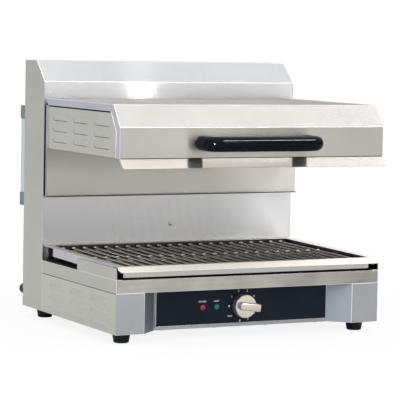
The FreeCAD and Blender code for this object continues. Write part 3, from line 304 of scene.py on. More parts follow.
# Nylon end caps: blue-grey, finely grained by the spark-eroded mould
spacer_grey = grained("blue_grey_nylon_cap", "5B6A78", "6E7E8D", 0.7, (0.42, 0.58), 0.03,
                      surface=NYLON)
# Stove enamel on the wall spacers: pale blue-grey and smooth
spacer_paint = grained("pale_grey_stove_enamel", "AEB9C4", "C3CDD6", 2.0, (0.25, 0.31),
                       surface=PLASTIC)
# Glass-filled nylon inside the base: black, dull, faintly fibrous
inner_black = grained("black_glass_filled_nylon", "141518", "212327", 0.7, (0.42, 0.58), 0.03,
                      surface=NYLON)
# Moulded polyamide gland: black with a dull bloom
gland_black = grained("black_polyamide_gland", "131417", "1E2024", 0.7, (0.38, 0.5), 0.03,
                      surface=NYLON)
# Centreless-ground bar: a clean bright line with faint rings 1 mm apart
bar_steel = grained("ground_polished_bar", "BFC1C3", "DADBDC", 30.0, (0.08, 0.16),
                    stretch=(1, 1, 30), surface=METAL)
# Milled aluminium: light grey, its cutter marks of 0.4 mm drawn 2 mm apart
alloy = grained("milled_aluminium", "BDBEC0", "D6D7D8", 20.0, (0.28, 0.4), 0.02,
                stretch=(10, 1, 1), surface=METAL)
# Oil-filled sintered bronze: brown-gold, finely pored
bronze = grained("sintered_bronze", "7A5A30", "B48A4E", 0.6, (0.34, 0.5), 0.05, surface=METAL)
# Black powder coat: satin with a slight orange peel
black_paint = grained("black_powder_coat", "15161A", "1F2126", 2.2, (0.28, 0.4), 0.06,
                      surface=PLASTIC)
# Nickel alloy heater tube after firing: dark green-grey oxide in patches
sheath = grained("oxidised_heater_sheath", "2B2A28", "4F4B45", 14.0, (0.45, 0.65), 0.04,
                 surface={"Metallic": 0.6})
# Steatite bead with a thin glaze: warm white and glassy
ceramic = grained("glazed_steatite", "DCD5C4", "EFEADD", 2.8, (0.18, 0.3),
                  surface={"IOR": 1.6, "Coat Weight": 0.4, "Coat Roughness": 0.08})
wool = needled_fibre()


# Mesh helpers
def piece(bm, name, body, coats, stands_for=(), edge=0.0, fold=0.0, solid=0.0, sharp=40,
          coat_bevels=False):
    """Turns a bmesh into a finished piece that rides on a body

    Its bevels, when coat_bevels is set, take the second of its coats, which paints a highlight or
    a shadow line along them.
    """
    mesh = bpy.data.meshes.new(name)
    for face in bm.faces:
        face.smooth = True
    bm.to_mesh(mesh)
    bm.free()
    for coat in coats if isinstance(coats, tuple) else (coats,):
        mesh.materials.append(coat)
    made = bpy.data.objects.new(name, mesh)
    bpy.context.scene.collection.objects.link(made)
    if solid:
        shell = made.modifiers.new("thickness", "SOLIDIFY")
        shell.thickness = solid
        shell.offset = -1
    if fold:
        rounded(made, "folds", fold, 4).limit_method = "WEIGHT"
    if edge:
        rounded(made, "edges", edge, 2).angle_limit = math.radians(sharp)
    if coat_bevels:
        for modifier in made.modifiers:
            if modifier.type == "BEVEL":
                modifier.material = 1
    if edge or fold:
        level = made.modifiers.new("level_faces", "WEIGHTED_NORMAL")
        level.weight = 100
    else:
        mesh.set_sharp_from_angle(angle=math.radians(sharp))
    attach(made, body)
    if stands_for:
        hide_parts(*stands_for)
    return made


def rounded(made, name, width, steps):
    bevel = made.modifiers.new(name, "BEVEL")
    bevel.limit_method = "ANGLE"
    bevel.width = width
    bevel.segments = steps
    return bevel


def copied(name):
    """The solids of a CAD node as one merged mesh with whole flat faces"""
    bm = bmesh.new()
    bm.from_mesh(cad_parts[name].data)
    bmesh.ops.remove_doubles(bm, verts=bm.verts, dist=WELD)
    bmesh.ops.dissolve_limit(bm, angle_limit=FLAT, verts=bm.verts, edges=bm.edges)
    return bm


def mark_folds(bm):
    """Marks the folds of a sheet, where two broad faces meet: wide outside, small inside"""
    weight = bm.edges.layers.float.new("bevel_weight_edge")
    for edge in bm.edges:
        if len(edge.link_faces) != 2 or edge.calc_length() < FOLD_LENGTH:
            continue
        if edge.calc_face_angle() < FOLD_TURN:
            continue
        if min(face.calc_area() / edge.calc_length() for face in edge.link_faces) > 2 * SHEET:
            edge[weight] = 1.0 if edge.is_convex else INNER_FOLD
    return bm


def coated(bm, coat, chosen=lambda face: True):
    """Gives the chosen faces of a bmesh one of its piece's coats, counted from 0"""
    for face in bm.faces:
        if chosen(face):
            face.material_index = coat
    return bm


def sheet_metal(node, body, coats=(casing_steel, fold_painted_highlight), bm=None,
                fold=1.3 * MM, edge=0.3 * MM):
    """A folded sheet of the frame with rolled folds and deburred edges"""
    if bm is None:
        bm = mark_folds(copied(node))
    return piece(bm, node + "_sheet", body, coats, (node,), edge=edge, fold=fold, coat_bevels=True)


def solid_copy(node, body, coat, edge=0.3 * MM):
    """A solid of the frame with its edges broken"""
    return piece(copied(node), node + "_part", body, coat, (node,), edge=edge)


def verts_of(geom):
    return [item for item in geom if isinstance(item, bmesh.types.BMVert)]


def edges_of(geom):
    return [item for item in geom if isinstance(item, bmesh.types.BMEdge)]


def cut(bm, spot, normal, clear=False):
    """Cuts every face of a bmesh along a plane"""
    bmesh.ops.bisect_plane(bm, geom=bm.verts[:] + bm.edges[:] + bm.faces[:], dist=MERGE,
                           plane_co=spot, plane_no=normal, clear_outer=clear)


def broken(bm, edges, width, steps):
    """Rounds some edges of a bmesh"""
    bmesh.ops.bevel(bm, geom=edges, offset=width, segments=steps, profile=0.5, affect="EDGES",
                    material=-1)


def joined(*parts):
    """Several bmeshes as one"""
    whole = bmesh.new()
    for part in parts:
        mesh = bpy.data.meshes.new("part")
        part.to_mesh(mesh)
        part.free()
        whole.from_mesh(mesh)
        bpy.data.meshes.remove(mesh)
    return whole


def turned(profile, steps=48):
    """A solid turned about Z from a profile of (radius, height) points"""
    bm = bmesh.new()
    line = [bm.verts.new((radius, 0, height)) for radius, height in profile]
    for start, end in zip(line, line[1:]):
        bm.edges.new((start, end))
    bmesh.ops.spin(bm, geom=bm.verts[:] + bm.edges[:], axis=(0, 0, 1), cent=(0, 0, 0),
                   angle=2 * math.pi, steps=steps, use_merge=True)
    bmesh.ops.remove_doubles(bm, verts=bm.verts, dist=MERGE)
    bmesh.ops.recalc_face_normals(bm, faces=bm.faces)
    return bm


FACING = {
    "front": Matrix.Rotation(math.pi / 2, 4, "X"),
    "back": Matrix.Rotation(-math.pi / 2, 4, "X"),
    "down": Matrix.Rotation(math.pi, 4, "X"),
    "up": Matrix.Identity(4),
}


def placed(bm, spot, facing="up"):
    """Turns a bmesh made along +Z to face a way and sets it at a spot"""
    bmesh.ops.transform(bm, matrix=Matrix.Translation(spot) @ FACING[facing], verts=bm.verts)
    return bm


def block(low, high):
    bm = bmesh.new()
    bmesh.ops.create_cube(bm, size=1)
    low, high = Vector(low), Vector(high)
    bmesh.ops.scale(bm, vec=high - low, verts=bm.verts)
    bmesh.ops.translate(bm, vec=(low + high) / 2, verts=bm.verts)
    return bm


def cross_head(radius, rise):
    """A pan head with a cross recess, standing on Z = 0"""
    bm = bmesh.new()
    bmesh.ops.create_grid(bm, x_segments=5, y_segments=5, size=1)
    # The grid's lines, moved so that its middle strips are the recess
    stops = [-1, -0.55, -0.15, 0.15, 0.55, 1]
    for vert in bm.verts:
        spot = [stops[round((value + 1) * 2.5)] for value in vert.co.xy]
        flat = Vector(spot) * radius
        if 1 in (abs(spot[0]), abs(spot[1])):
            flat = flat.normalized() * radius
        vert.co = (flat.x, flat.y, rise * (1 - 0.35 * (flat.length / radius) ** 2))
    arms = []
    for face in bm.faces:
        across, along = sorted(abs(value) for value in face.calc_center_median().xy)
        if across < 0.1 * radius and along < 0.5 * radius:
            arms.append(face)
    sunk = bmesh.ops.extrude_face_region(bm, geom=arms)["geom"]
    bmesh.ops.translate(bm, vec=(0, 0, -0.6 * rise), verts=verts_of(sunk))
    bmesh.ops.delete(bm, geom=arms, context="FACES")
    rim = [edge for edge in bm.edges
           if edge.is_boundary and edge.verts[0].co.xy.length > 0.9 * radius]
    for vert in verts_of(bmesh.ops.extrude_edge_only(bm, edges=rim)["geom"]):
        vert.co.z = 0
    bmesh.ops.recalc_face_normals(bm, faces=bm.faces)
    return bm


def tube(stations, radius, steps=24):
    """A round bar swept from a first ring, given by its place and direction

    Each further station is ("run", step) or ("turn", centre, axis, angle, count).
    """
    bm = bmesh.new()
    start, direction = stations[0]
    turn = Vector((0, 0, 1)).rotation_difference(Vector(direction)).to_matrix().to_4x4()
    ring = bmesh.ops.create_circle(bm, segments=steps, radius=radius, cap_ends=False,
                                   matrix=Matrix.Translation(start) @ turn)["verts"]
    edges = list({edge for vert in ring for edge in vert.link_edges})
    for kind, *facts in stations[1:]:
        if kind == "run":
            grown = bmesh.ops.extrude_edge_only(bm, edges=edges)["geom"]
            bmesh.ops.translate(bm, vec=facts[0], verts=verts_of(grown))
            edges = edges_of(grown)
        else:
            centre, axis, angle, count = facts
            verts = list({vert for edge in edges for vert in edge.verts})
            last = bmesh.ops.spin(bm, geom=verts + edges, cent=centre, axis=axis, angle=angle,
                                  steps=count)
            edges = edges_of(last["geom_last"])
    bmesh.ops.remove_doubles(bm, verts=bm.verts, dist=MERGE)
    bmesh.ops.holes_fill(bm, edges=bm.edges, sides=0)
    bmesh.ops.recalc_face_normals(bm, faces=bm.faces)
    return bm


def loose_parts(bm):
    """The loose solids of a bmesh as lists of vertices"""
    seen, groups = set(), []
    for vert in bm.verts:
        if vert in seen:
            continue
        stack, group = [vert], []
        seen.add(vert)
        while stack:
            here = stack.pop()
            group.append(here)
            for edge in here.link_edges:
                other = edge.other_vert(here)
                if other not in seen:
                    seen.add(other)
                    stack.append(other)
        groups.append(group)
    return groups


def extents(verts):
    low = Vector(min(vert.co[axis] for vert in verts) for axis in range(3))
    high = Vector(max(vert.co[axis] for vert in verts) for axis in range(3))
    return low, high


def islands(node):
    """The low and high corners of each loose solid of a node"""
    bm = copied(node)
    boxes = [extents(group) for group in loose_parts(bm)]
    bm.free()
    return boxes


# Camera, set to the place and lens that the photograph was solved for
CAMERA = Vector((-1.965154, -3.7928, 0.609153))
YAW, PITCH, ROLL = 0.476429, 0.0809497, 0.0200182
LENS_TO_FRAME = 5.091199
ahead = Vector((math.sin(YAW) * math.cos(PITCH), math.cos(YAW) * math.cos(PITCH),
                -math.sin(PITCH)))
level = Vector((math.cos(YAW), -math.sin(YAW), 0))
upward = level.cross(ahead)
right = math.cos(ROLL) * level + math.sin(ROLL) * upward
top = -math.sin(ROLL) * level + math.cos(ROLL) * upward
turn = Matrix((right, top, -ahead)).transposed().to_4x4()
camera_data = bpy.data.cameras.new("camera")
camera_data.sensor_width = 36
camera_data.lens = LENS_TO_FRAME * camera_data.sensor_width
camera = bpy.data.objects.new("camera", camera_data)
bpy.context.scene.collection.objects.link(camera)
camera.matrix_world = Matrix.Translation(CAMERA) @ turn
bpy.context.scene.camera = camera
bpy.context.scene.view_settings.view_transform = "Standard"


# Pressed side panels, with three rows and columns of louvres
LOUVRE = Vector((77, 13)) * MM
LOUVRE_PITCH = Vector((104, 22.5)) * MM
LOUVRE_RISE = 2.4 * MM
# How far each end rises, how far the mouth stays from it, and the flat lip over the mouth
LOUVRE_END, MOUTH_END, LOUVRE_LIP = 12 * MM, 6 * MM, 2 * MM
LOUVRE_FRONT = 44 * MM
LOUVRE_MOUTH = {"casing": 0.6 * MM, "hood": 1.1 * MM}
LOUVRE_LOW = {"casing": 12 * MM, "hood": 15.5 * MM}
# Where each louvre is cut into strips, in mm along it and up from its slit
CUTS_ALONG = (0, 2, 4, 6, 8, 10, 12, 26, 51, 65, 67, 69, 71, 73, 75, 77)
CUTS_UP = (0, 1, 2, 3.5, 5, 6.5, 8, 9.5, 11, 13)
# Each panel stops this far below its node's top, where the folded sheet over it leaves a dark seam
PANEL_SEAM = {"casing": 1.1 * MM, "hood": 15.6 * MM}
# What is this near a slit lies on it
TINY = 0.01 * MM


def eased(value):
    value = min(max(value, 0), 1)
    return value * value * (3 - 2 * value)


def louvred_side(node, name, body, side, face_x, slope=None):
    """A flat panel cut into strips, slit along each louvre's foot and pressed out in a swell"""
    low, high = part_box(node)
    bm = bmesh.new()
    top_z = high.z - PANEL_SEAM[body]
    outline = [(low.y, low.z), (high.y, low.z), (high.y, top_z), (low.y, top_z)]
    bm.faces.new([bm.verts.new((face_x, y, z)) for y, z in outline])
    first_y, first_z = front + LOUVRE_FRONT, low.z + LOUVRE_LOW[body]
    starts = [(first_y + column * LOUVRE_PITCH.x, first_z + row * LOUVRE_PITCH.y)
              for column in range(3) for row in range(3)]
    mouth = LOUVRE_MOUTH[body]
    for y in sorted({y + part * MM for y, z in starts for part in CUTS_ALONG}):
        cut(bm, (0, y, 0), (0, 1, 0))
    cuts_z = {z + part * MM for y, z in starts for part in CUTS_UP}
    for z in sorted(cuts_z | {z - mouth for y, z in starts}):
        cut(bm, (0, 0, z), (0, 0, 1))
    if slope:
        cut(bm, *slope, clear=True)
    slits = []
    for edge in bm.edges:
        start, end = (vert.co for vert in edge.verts)
        middle = (start + end) / 2
        if abs(start.z - end.z) < TINY and any(
                abs(middle.z - z) < TINY and y < middle.y < y + LOUVRE.x for y, z in starts):
            slits.append(edge)
    bmesh.ops.split_edges(bm, edges=slits)
    mouths = []
    for face in bm.faces:
        middle = face.calc_center_median()
        if any(z - mouth < middle.z < z
               and y + MOUTH_END < middle.y < y + LOUVRE.x - MOUTH_END for y, z in starts):
            mouths.append(face)
    bmesh.ops.delete(bm, geom=mouths, context="FACES")
    for vert in bm.verts:
        for y, z in starts:
            along, above = vert.co.y - y, vert.co.z - z
            inside = -TINY < above < LOUVRE.y and 0 < along < LOUVRE.x
            if inside and all(face.calc_center_median().z > z for face in vert.link_faces):
                ends = eased(min(along, LOUVRE.x - along) / LOUVRE_END)
                swell = 1 - eased((above - LOUVRE_LIP) / (LOUVRE.y - LOUVRE_LIP))
                vert.co.x += side * LOUVRE_RISE * ends * swell
                break
    if bm.faces[:][0].normal.x * side < 0:
        bmesh.ops.reverse_faces(bm, faces=bm.faces)
    return piece(bm, name, body, panel_steel, (node,), edge=0.25 * MM,
                 solid=SHEET, sharp=50)


SLOPE_RUN, SLOPE_DROP = 31.8 * MM, 43.6 * MM
slope_out = Vector((0, -SLOPE_DROP, SLOPE_RUN)).normalized()
slope_spot = Vector((0, hood_face, hood_top - SLOPE_DROP)) - slope_out * SHEET
for side, word in SIDES:
    louvred_side("base_side_" + word, "louvred_base_" + word, "casing", side, side * half)
    louvred_side("hood_side_" + word, "louvred_hood_" + word, "hood", side,
                 side * (half - SHEET), (slope_spot, slope_out))


# Folded sheets
def deck_frame():
    """The frame round the base, its deck darkened where the tray covers it: painted shade"""
    shade_coat = 2
    return coated(mark_folds(copied("top_frame")), shade_coat, lambda face:
                  face.normal.z > 0.9 and face.calc_center_median().z > deck - MM)


def fascia():
    """The front sheet with its two slanting returns"""
    scoured = 2
    return coated(mark_folds(copied("front_fascia")), scoured,
                  lambda face: abs(face.normal.x) > 0.3 and face.normal.y < -0.3)


def heat_shield():
    """The shield behind the hood, with painted shade on its flanks in the gap beside the column
    and a painted shadow line along its lower hem
    """
    shade_coat, gap_shade_coat = 1, 2
    hem_radius, inset, gap_shade_depth = 1.1 * MM, 2 * MM, 9 * MM
    low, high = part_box("rear_shield")
    gap_y = high.y - gap_shade_depth
    bm = copied("rear_shield")
    cut(bm, (0, gap_y, 0), (0, 1, 0))
    coated(bm, gap_shade_coat,
           lambda face: abs(face.normal.x) > 0.7 and face.calc_center_median().y > gap_y)
    foot = (low.x + inset, low.y + 0.4 * MM, low.z + hem_radius)
    hem = tube([(foot, (1, 0, 0)), ("run", (high.x - low.x - 2 * inset, 0, 0))], hem_radius, 12)
    return mark_folds(joined(bm, coated(hem, shade_coat)))


def hood_shell():
    """The hood's cover, with a black tube under its front where the deflector tucks in: a painted
    shadow line
    """
    gap_shade_coat = 2
    seam_radius, inset = 0.7 * MM, 3 * MM
    spot = (-half + inset, hood_face + 0.4 * MM, corner_low("hood_cover").z - 0.3 * MM)
    # A black tube along the front's lower edge: painted shade in the gap
    seam = tube([(spot, (1, 0, 0)), ("run", (2 * half - 2 * inset, 0, 0))], seam_radius, 12)
    return mark_folds(joined(copied("hood_cover"), coated(seam, gap_shade_coat)))


def drip_pan():
    """The pan: its inside below the rim and its underside darkened with painted shade, its inner
    side walls with a painted reflection, its front skirt with painted shade under the lip
    """
    painted_shade_coat, skirt, painted_tint_coat = 2, 3, 4
    rim_side, rim_front = 19 * MM, 18 * MM
    bm = mark_folds(copied("drip_pan"))
    low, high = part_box("drip_pan")
    for face in bm.faces:
        spot = face.calc_center_median()
        reach = max(abs(vert.co.x) for vert in face.verts)
        inside = (reach < high.x - rim_side and spot.y > low.y + rim_front
                  and face.normal.z > -0.1)
        if face.normal.z < -0.7:
            face.material_index = painted_shade_coat
        elif inside and abs(face.normal.x) > 0.7:
            face.material_index = painted_tint_coat
        elif inside and not (spot.y < 0 and face.normal.y < -0.5):
            face.material_index = painted_shade_coat
        elif face.normal.y < -0.9 and spot.y < 0:
            face.material_index = skirt
    return bm


for name in ("floor_plate", "column_side_left", "column_side_right", "column_rear",
             "guide_plate_left", "guide_plate_right", "tray_runner_left", "tray_runner_right",
             "rod_beam_lower", "rod_beam_upper"):
    sheet_metal(name, "casing")
sheet_metal("top_frame", "casing", (band_steel, fold_painted_highlight, pan_and_deck_shade), deck_frame())
sheet_metal("column_front", "casing", (wall_steel, fold_painted_highlight))
sheet_metal("hood_deflector", "hood", (deflector_steel, fold_painted_highlight))
for name in ("lift_arm_left", "lift_arm_right", "cross_tie", "element_supports"):
    sheet_metal(name, "hood", (hood_steel, fold_painted_highlight), fold=2 * MM, edge=0.5 * MM)
sheet_metal("reflector", "hood", (reflector_steel, fold_painted_highlight))
sheet_metal("front_fascia", "casing", (casing_steel, fold_painted_highlight, return_steel), fascia(),
            fold=1.8 * MM)
sheet_metal("rear_shield", "hood", (shield_steel, hem_painted_shadow, gap_painted_shade), heat_shield(),
            fold=1.6 * MM)
sheet_metal("hood_cover", "hood", (hood_steel, fold_painted_highlight, gap_painted_shade), hood_shell(), fold=2 * MM,
            edge=0.5 * MM)
sheet_metal("drip_pan", "tray", (tray_steel, fold_painted_highlight, pan_and_deck_shade, skirt_under_lip_shade, pan_wall_painted_tint),
            drip_pan())


# Control panel
solid_copy("control_plate", "casing", panel_black, 0.2 * MM)
solid_copy("panel_surround", "casing", casing_steel, 0.5 * MM)

INK_FILM = 0.06 * MM
DIAL_RADIUS = 31.3 * MM
# Degrees from the right, anticlockwise, for the digits 1 to 8
DIGIT_ANGLES = (144, 108, 72, 36, 2, -30, -66, -101)
DIGIT, WORD, OFF_MARK = 7 * MM, 5 * MM, 3.2 * MM
# How far MAX lies left of the dial's middle and below it, and the lamps' words above it
MAX_LEFT, MAX_DOWN, WORD_UP = 29 * MM, 20.5 * MM, 11.5 * MM


def lettering(text, size, x, z):
    """Printed words on the panel as a thin raised film of ink"""
    curve = bpy.data.curves.new("letters", "FONT")
    curve.body = text
    curve.size = size
    curve.align_x = "CENTER"
    curve.align_y = "CENTER"
    curve.extrude = INK_FILM / 2
    carrier = bpy.data.objects.new("letters", curve)
    bpy.context.scene.collection.objects.link(carrier)
    bpy.context.view_layer.update()
    ready = carrier.evaluated_get(bpy.context.evaluated_depsgraph_get())
    bm = bmesh.new()
    bm.from_mesh(bpy.data.meshes.new_from_object(ready))
    bpy.data.objects.remove(carrier)
    return placed(bm, (x, panel_y - INK_FILM / 2, z), "front")


marks = []
for index, angle in enumerate(DIGIT_ANGLES):
    turn = math.radians(angle)
    marks.append(lettering(str(index + 1), DIGIT, DIAL_RADIUS * math.cos(turn),
                           dial_z + DIAL_RADIUS * math.sin(turn)))
marks.append(block((-DIAL_RADIUS - OFF_MARK / 2, panel_y - INK_FILM, dial_z - OFF_MARK / 2),
                   (-DIAL_RADIUS + OFF_MARK / 2, panel_y, dial_z + OFF_MARK / 2)))
marks.append(lettering("MAX", WORD, -MAX_LEFT, dial_z - MAX_DOWN))
LAMPS = (("power_lamp", "POWER", red_lens, "red_lens"),
         ("heat_lamp", "HEAT", green_lens, "green_lens"))
lamp_x = {name: sum(corner.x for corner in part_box(name)) / 2 for name, *_ in LAMPS}
for name, word, *_ in LAMPS:
    marks.append(lettering(word, WORD, lamp_x[name], dial_z + WORD_UP))
piece(joined(*marks), "dial_print", "casing", ink, sharp=30)

for name, word, finish, slot in LAMPS:
    rise = panel_y - corner_low(name).y
    stem = corner_high(name).y - panel_y
    profile = [(0, -stem), (4.4 * MM, -stem), (4.4 * MM, 0), (6 * MM, 0), (6 * MM, 0.4 * rise),
               (5.4 * MM, 0.72 * rise), (4 * MM, 0.92 * rise), (2 * MM, rise), (0, rise)]
    piece(placed(turned(profile), (lamp_x[name], panel_y, dial_z), "front"), name + "_lens",
          "casing", finish, (name,), sharp=50)
solid_copy("lamp_bodies", "casing", inner_black, 0.6 * MM)
solid_copy("energy_regulator", "casing", inner_black, 0.8 * MM)
solid_copy("terminal_block", "casing", inner_black, 0.4 * MM)


def dial_knob():
    """A turned skirt with a grip bar that stands proud and points outwards"""
    low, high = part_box("control_knob")
    crest, skirt, radius = high.y - low.y, 14.5 * MM, 24.6 * MM
    body = turned([(4 * MM, 0), (21.4 * MM, 0), (radius - 0.4 * MM, 0), (radius, 0.6 * MM),
                   (radius, 3 * MM), (radius - 1.1 * MM, skirt - 0.6 * MM),
                   (radius - 1.7 * MM, skirt), (0, skirt)], 64)
    near, far, wide, sunk = -17.5 * MM, 31 * MM, 17 * MM, 1 * MM
    middle = (near + far) / 2
    grip = bmesh.new()
    bmesh.ops.create_grid(grip, x_segments=1, y_segments=1, size=0.5)
    for vert in grip.verts:
        vert.co = (middle + vert.co.x * (far - near), vert.co.y * wide, skirt - sunk)
    verts = verts_of(bmesh.ops.extrude_face_region(grip, geom=grip.faces[:])["geom"])
    bmesh.ops.translate(grip, vec=(0, 0, crest - skirt + sunk), verts=verts)
    bmesh.ops.scale(grip, vec=(0.96, 0.86, 1), verts=verts,
                    space=Matrix.Translation((-middle, 0, 0)))
    bmesh.ops.recalc_face_normals(grip, faces=grip.faces)
    for end, round_off in ((-1, 6.5 * MM), (1, 1.5 * MM)):
        upright = [edge for edge in grip.edges
                   if abs(edge.verts[0].co.z - edge.verts[1].co.z) > MM
                   and edge.verts[0].co.x * end > 10 * MM]
        broken(grip, upright, round_off, 5)
    crown = [edge for edge in grip.edges
             if min(vert.co.z for vert in edge.verts) > crest - 0.1 * MM]
    broken(grip, crown, 0.9 * MM, 3)
    pointing = Matrix.Rotation(math.radians(-8), 3, "Z")
    bmesh.ops.rotate(grip, cent=(0, 0, 0), matrix=pointing, verts=grip.verts)
    flank = 1
    whole = coated(joined(body, grip), flank, lambda face: face.normal.z < 0.5)
    return placed(whole, (0, high.y, dial_z), "front")


piece(dial_knob(), "pointer_knob", "knob", (knob_silver, knob_flank_painted_reflection),
      ("control_knob",), sharp=35)


# Handle
def grip_bar():
    low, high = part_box("handle")
    radius, z = (high.z - low.z) / 2, (high.z + low.z) / 2
    bend = 17 * MM
    bar_y, leg_x = low.y + radius, high.x - radius
    out = (bar_y + bend) - high.y
    quarter = ((0, 0, 1), math.pi / 2, 12)
    return tube([
        ((-leg_x, high.y, z), (0, -1, 0)),
        ("run", (0, out, 0)),
        ("turn", (-leg_x + bend, bar_y + bend, z), *quarter),
        ("run", (2 * (leg_x - bend), 0, 0)),
        ("turn", (leg_x - bend, bar_y + bend, z), *quarter),
        ("run", (0, -out, 0)),
    ], radius, 40)


grip = piece(grip_bar(), "grip_bar", "hood", handle_black, ("handle",), sharp=50,
             edge=0.6 * MM)

# Hems along the free edges of the hood's cheeks, upright and then up the slope, in the folds'
# painted highlight
CHEEK_HEM = 1 * MM
HEM_UPRIGHT, HEM_SLOPE = (0, 0, 53.8 * MM), (0, 25.9 * MM, 35.5 * MM)
for side, word in SIDES:
    foot = (side * (half - 0.3 * MM), hood_face + 18 * MM, hood_low + 0.5 * MM)
    hem = tube([(foot, (0, 0, 1)), ("run", HEM_UPRIGHT), ("run", HEM_SLOPE)], CHEEK_HEM, 8)
    piece(hem, "cheek_hem_" + word, "hood", fold_painted_highlight, sharp=60)


# Wire grid
LONG = 200 * MM
ROD = 6 * MM


def grid_part(keep_rods):
    """Either the long rods of the wire grid or its cross bars and legs"""
    bm = copied("wire_grid")
    gone = []
    for group in loose_parts(bm):
        low, high = extents(group)
        if (high.y - low.y > LONG) != keep_rods:
            gone.extend(group)
    bmesh.ops.delete(bm, geom=gone, context="VERTS")
    return bm


def weld_crests():
    """A small dome over every place where a rod is welded to a cross bar, in the cross bars'
    painted highlight
    """
    boxes = islands("wire_grid")
    rods = [(low, high) for low, high in boxes if high.y - low.y > LONG]
    bars = [(low, high) for low, high in boxes if high.x - low.x > LONG]
    dome = Matrix.Diagonal((4.6 * MM, 3.4 * MM, 2 * MM, 1))
    crests = bmesh.new()
    for rod_low, rod_high in rods:
        for bar_low, bar_high in bars:
            y = (bar_low.y + bar_high.y) / 2
            share = (y - rod_low.y) / (rod_high.y - rod_low.y)
            z = rod_low.z + (rod_high.z - rod_low.z - ROD) * share + 0.9 * ROD
            spot = Matrix.Translation(((rod_low.x + rod_high.x) / 2, y, z))
            bmesh.ops.create_uvsphere(crests, u_segments=10, v_segments=6, radius=1,
                                      matrix=spot @ dome)
    return crests


piece(grid_part(True), "grid_rods", "grid", wire, ("wire_grid",),
      edge=0.5 * MM, sharp=35)
piece(grid_part(False), "grid_cross_bars", "grid", cross_bar_painted_highlight, edge=0.5 * MM,
      sharp=35)
piece(weld_crests(), "grid_weld_crests", "grid", cross_bar_painted_highlight, sharp=60)


# Small fixings
SCREW_HEAD, SCREW_SHANK = 4 * MM, 4.8 * MM


def screw_set(node, spots, rise, facing):
    """Cross-recess screws whose shanks run back through the sheet"""
    core = SCREW_HEAD / 2
    parts = []
    for spot in spots:
        stem = turned([(0, 0), (core, 0), (core, -0.2 * SCREW_SHANK), (0, -SCREW_SHANK)], 16)
        parts.append(placed(joined(cross_head(SCREW_HEAD, rise), stem), spot, facing))
    return piece(joined(*parts), node + "_heads", "casing", zinc, (node,), sharp=50)


rear_spots = [((low.x + high.x) / 2, rear, (low.z + high.z) / 2)
              for low, high in islands("rear_screws")]
screw_set("rear_screws", rear_spots, 2.2 * MM, "back")
wall_low, wall_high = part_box("wall_screw")
screw_set("wall_screw", [(0, wall, (wall_low.z + wall_high.z) / 2)], 2.2 * MM, "front")
under = [((low.x + high.x) / 2, (low.y + high.y) / 2, floor_z)
         for low, high in islands("base_screws")]
screw_set("base_screws", under, 2.4 * MM, "down")
solid_copy("handle_screws", "hood", zinc, 0.4 * MM)
solid_copy("arm_bolts", "hood", zinc, 0.4 * MM)
solid_copy("foot_studs", "casing", zinc, 0.3 * MM)

# Feet, bumpers and spacers
FOOT_TAPER = 15.5 / 18.4
# The bumpers' dome, in shares of its radius and rise
DOME = ((0, 0), (1, 0), (1, 0.5), (0.98, 0.64), (0.92, 0.77), (0.8, 0.88), (0.62, 0.95),
        (0.36, 0.99), (0, 1))
feet = []
for low, high in islands("rubber_feet"):
    rise, brim = high.z - low.z, (high.x - low.x) / 2
    tread = brim * FOOT_TAPER
    profile = [(0, 0), (tread - 2.4 * MM, 0), (tread - 0.7 * MM, 0.7 * MM), (tread, 2.4 * MM),
               (brim - 0.3 * MM, rise - 3 * MM), (brim, rise - 1.5 * MM),
               (brim, rise - 0.5 * MM), (brim - 0.5 * MM, rise), (0, rise)]
    feet.append(placed(turned(profile), ((low.x + high.x) / 2, (low.y + high.y) / 2, low.z)))
piece(joined(*feet), "turned_feet", "casing", rubber, ("rubber_feet",), sharp=50)

bumpers = []
for low, high in islands("rear_bumpers"):
    rise, radius = high.y - low.y, (high.x - low.x) / 2
    # They sit right at the corners, a little past the column's edge
    x = math.copysign(half - radius + 1 * MM, low.x)
    button = turned([(radius * wide, rise * deep) for wide, deep in DOME])
    bumpers.append(placed(button, (x, low.y, (low.z + high.z) / 2), "back"))
piece(joined(*bumpers), "bumper_buttons", "casing", rubber, ("rear_bumpers",),
      sharp=50)
solid_copy("wall_spacers", "casing", spacer_paint, 1.2 * MM)
solid_copy("spacer_caps", "casing", spacer_grey, 1.6 * MM)
solid_copy("cable_gland", "casing", gland_black, 0.5 * MM)
solid_copy("gland_nut", "casing", gland_black, 0.5 * MM)

# Burner
solid_copy("heating_element_left", "hood", sheath, 0.0)
solid_copy("heating_element_right", "hood", sheath, 0.0)
solid_copy("element_beads", "hood", ceramic, 0.6 * MM)


def fibre_mat():
    """A cut mat of fibre that swells between its pressed edges"""
    low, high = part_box("insulation_blanket")
    bm = block(low, high)
    broken(bm, bm.edges[:], 6 * MM, 3)
    for start, end, count, normal in ((low.x, high.x, 24, (1, 0, 0)),
                                      (low.y, high.y, 16, (0, 1, 0))):
        for index in range(1, count):
            cut(bm, [start + (end - start) * index / count] * 3, normal)
    # Swells about 100 mm long and 2 mm deep
    for vert in bm.verts:
        wave = math.sin(vert.co.x * 61) * math.cos(vert.co.y * 73)
        if vert.co.z > (low.z + high.z) / 2:
            vert.co.z -= (1 - wave) * MM
    return bm


mat = piece(fibre_mat(), "fibre_mat", "hood", wool, ("insulation_blanket",),
            sharp=80)

# Lift
solid_copy("lift_rods", "casing", bar_steel, 0.6 * MM)
solid_copy("spring_rods", "hood", bar_steel, 0.4 * MM)
solid_copy("regulator_shaft", "knob", bar_steel, 0.3 * MM)
solid_copy("lift_block_left", "hood", alloy, 0.6 * MM)
solid_copy("lift_block_right", "hood", alloy, 0.6 * MM)
solid_copy("lift_bushes", "hood", bronze, 0.3 * MM)
solid_copy("spring_cylinders", "casing", black_paint, 0.6 * MM)


# Studio
WHITE = (1, 1, 1, 1)


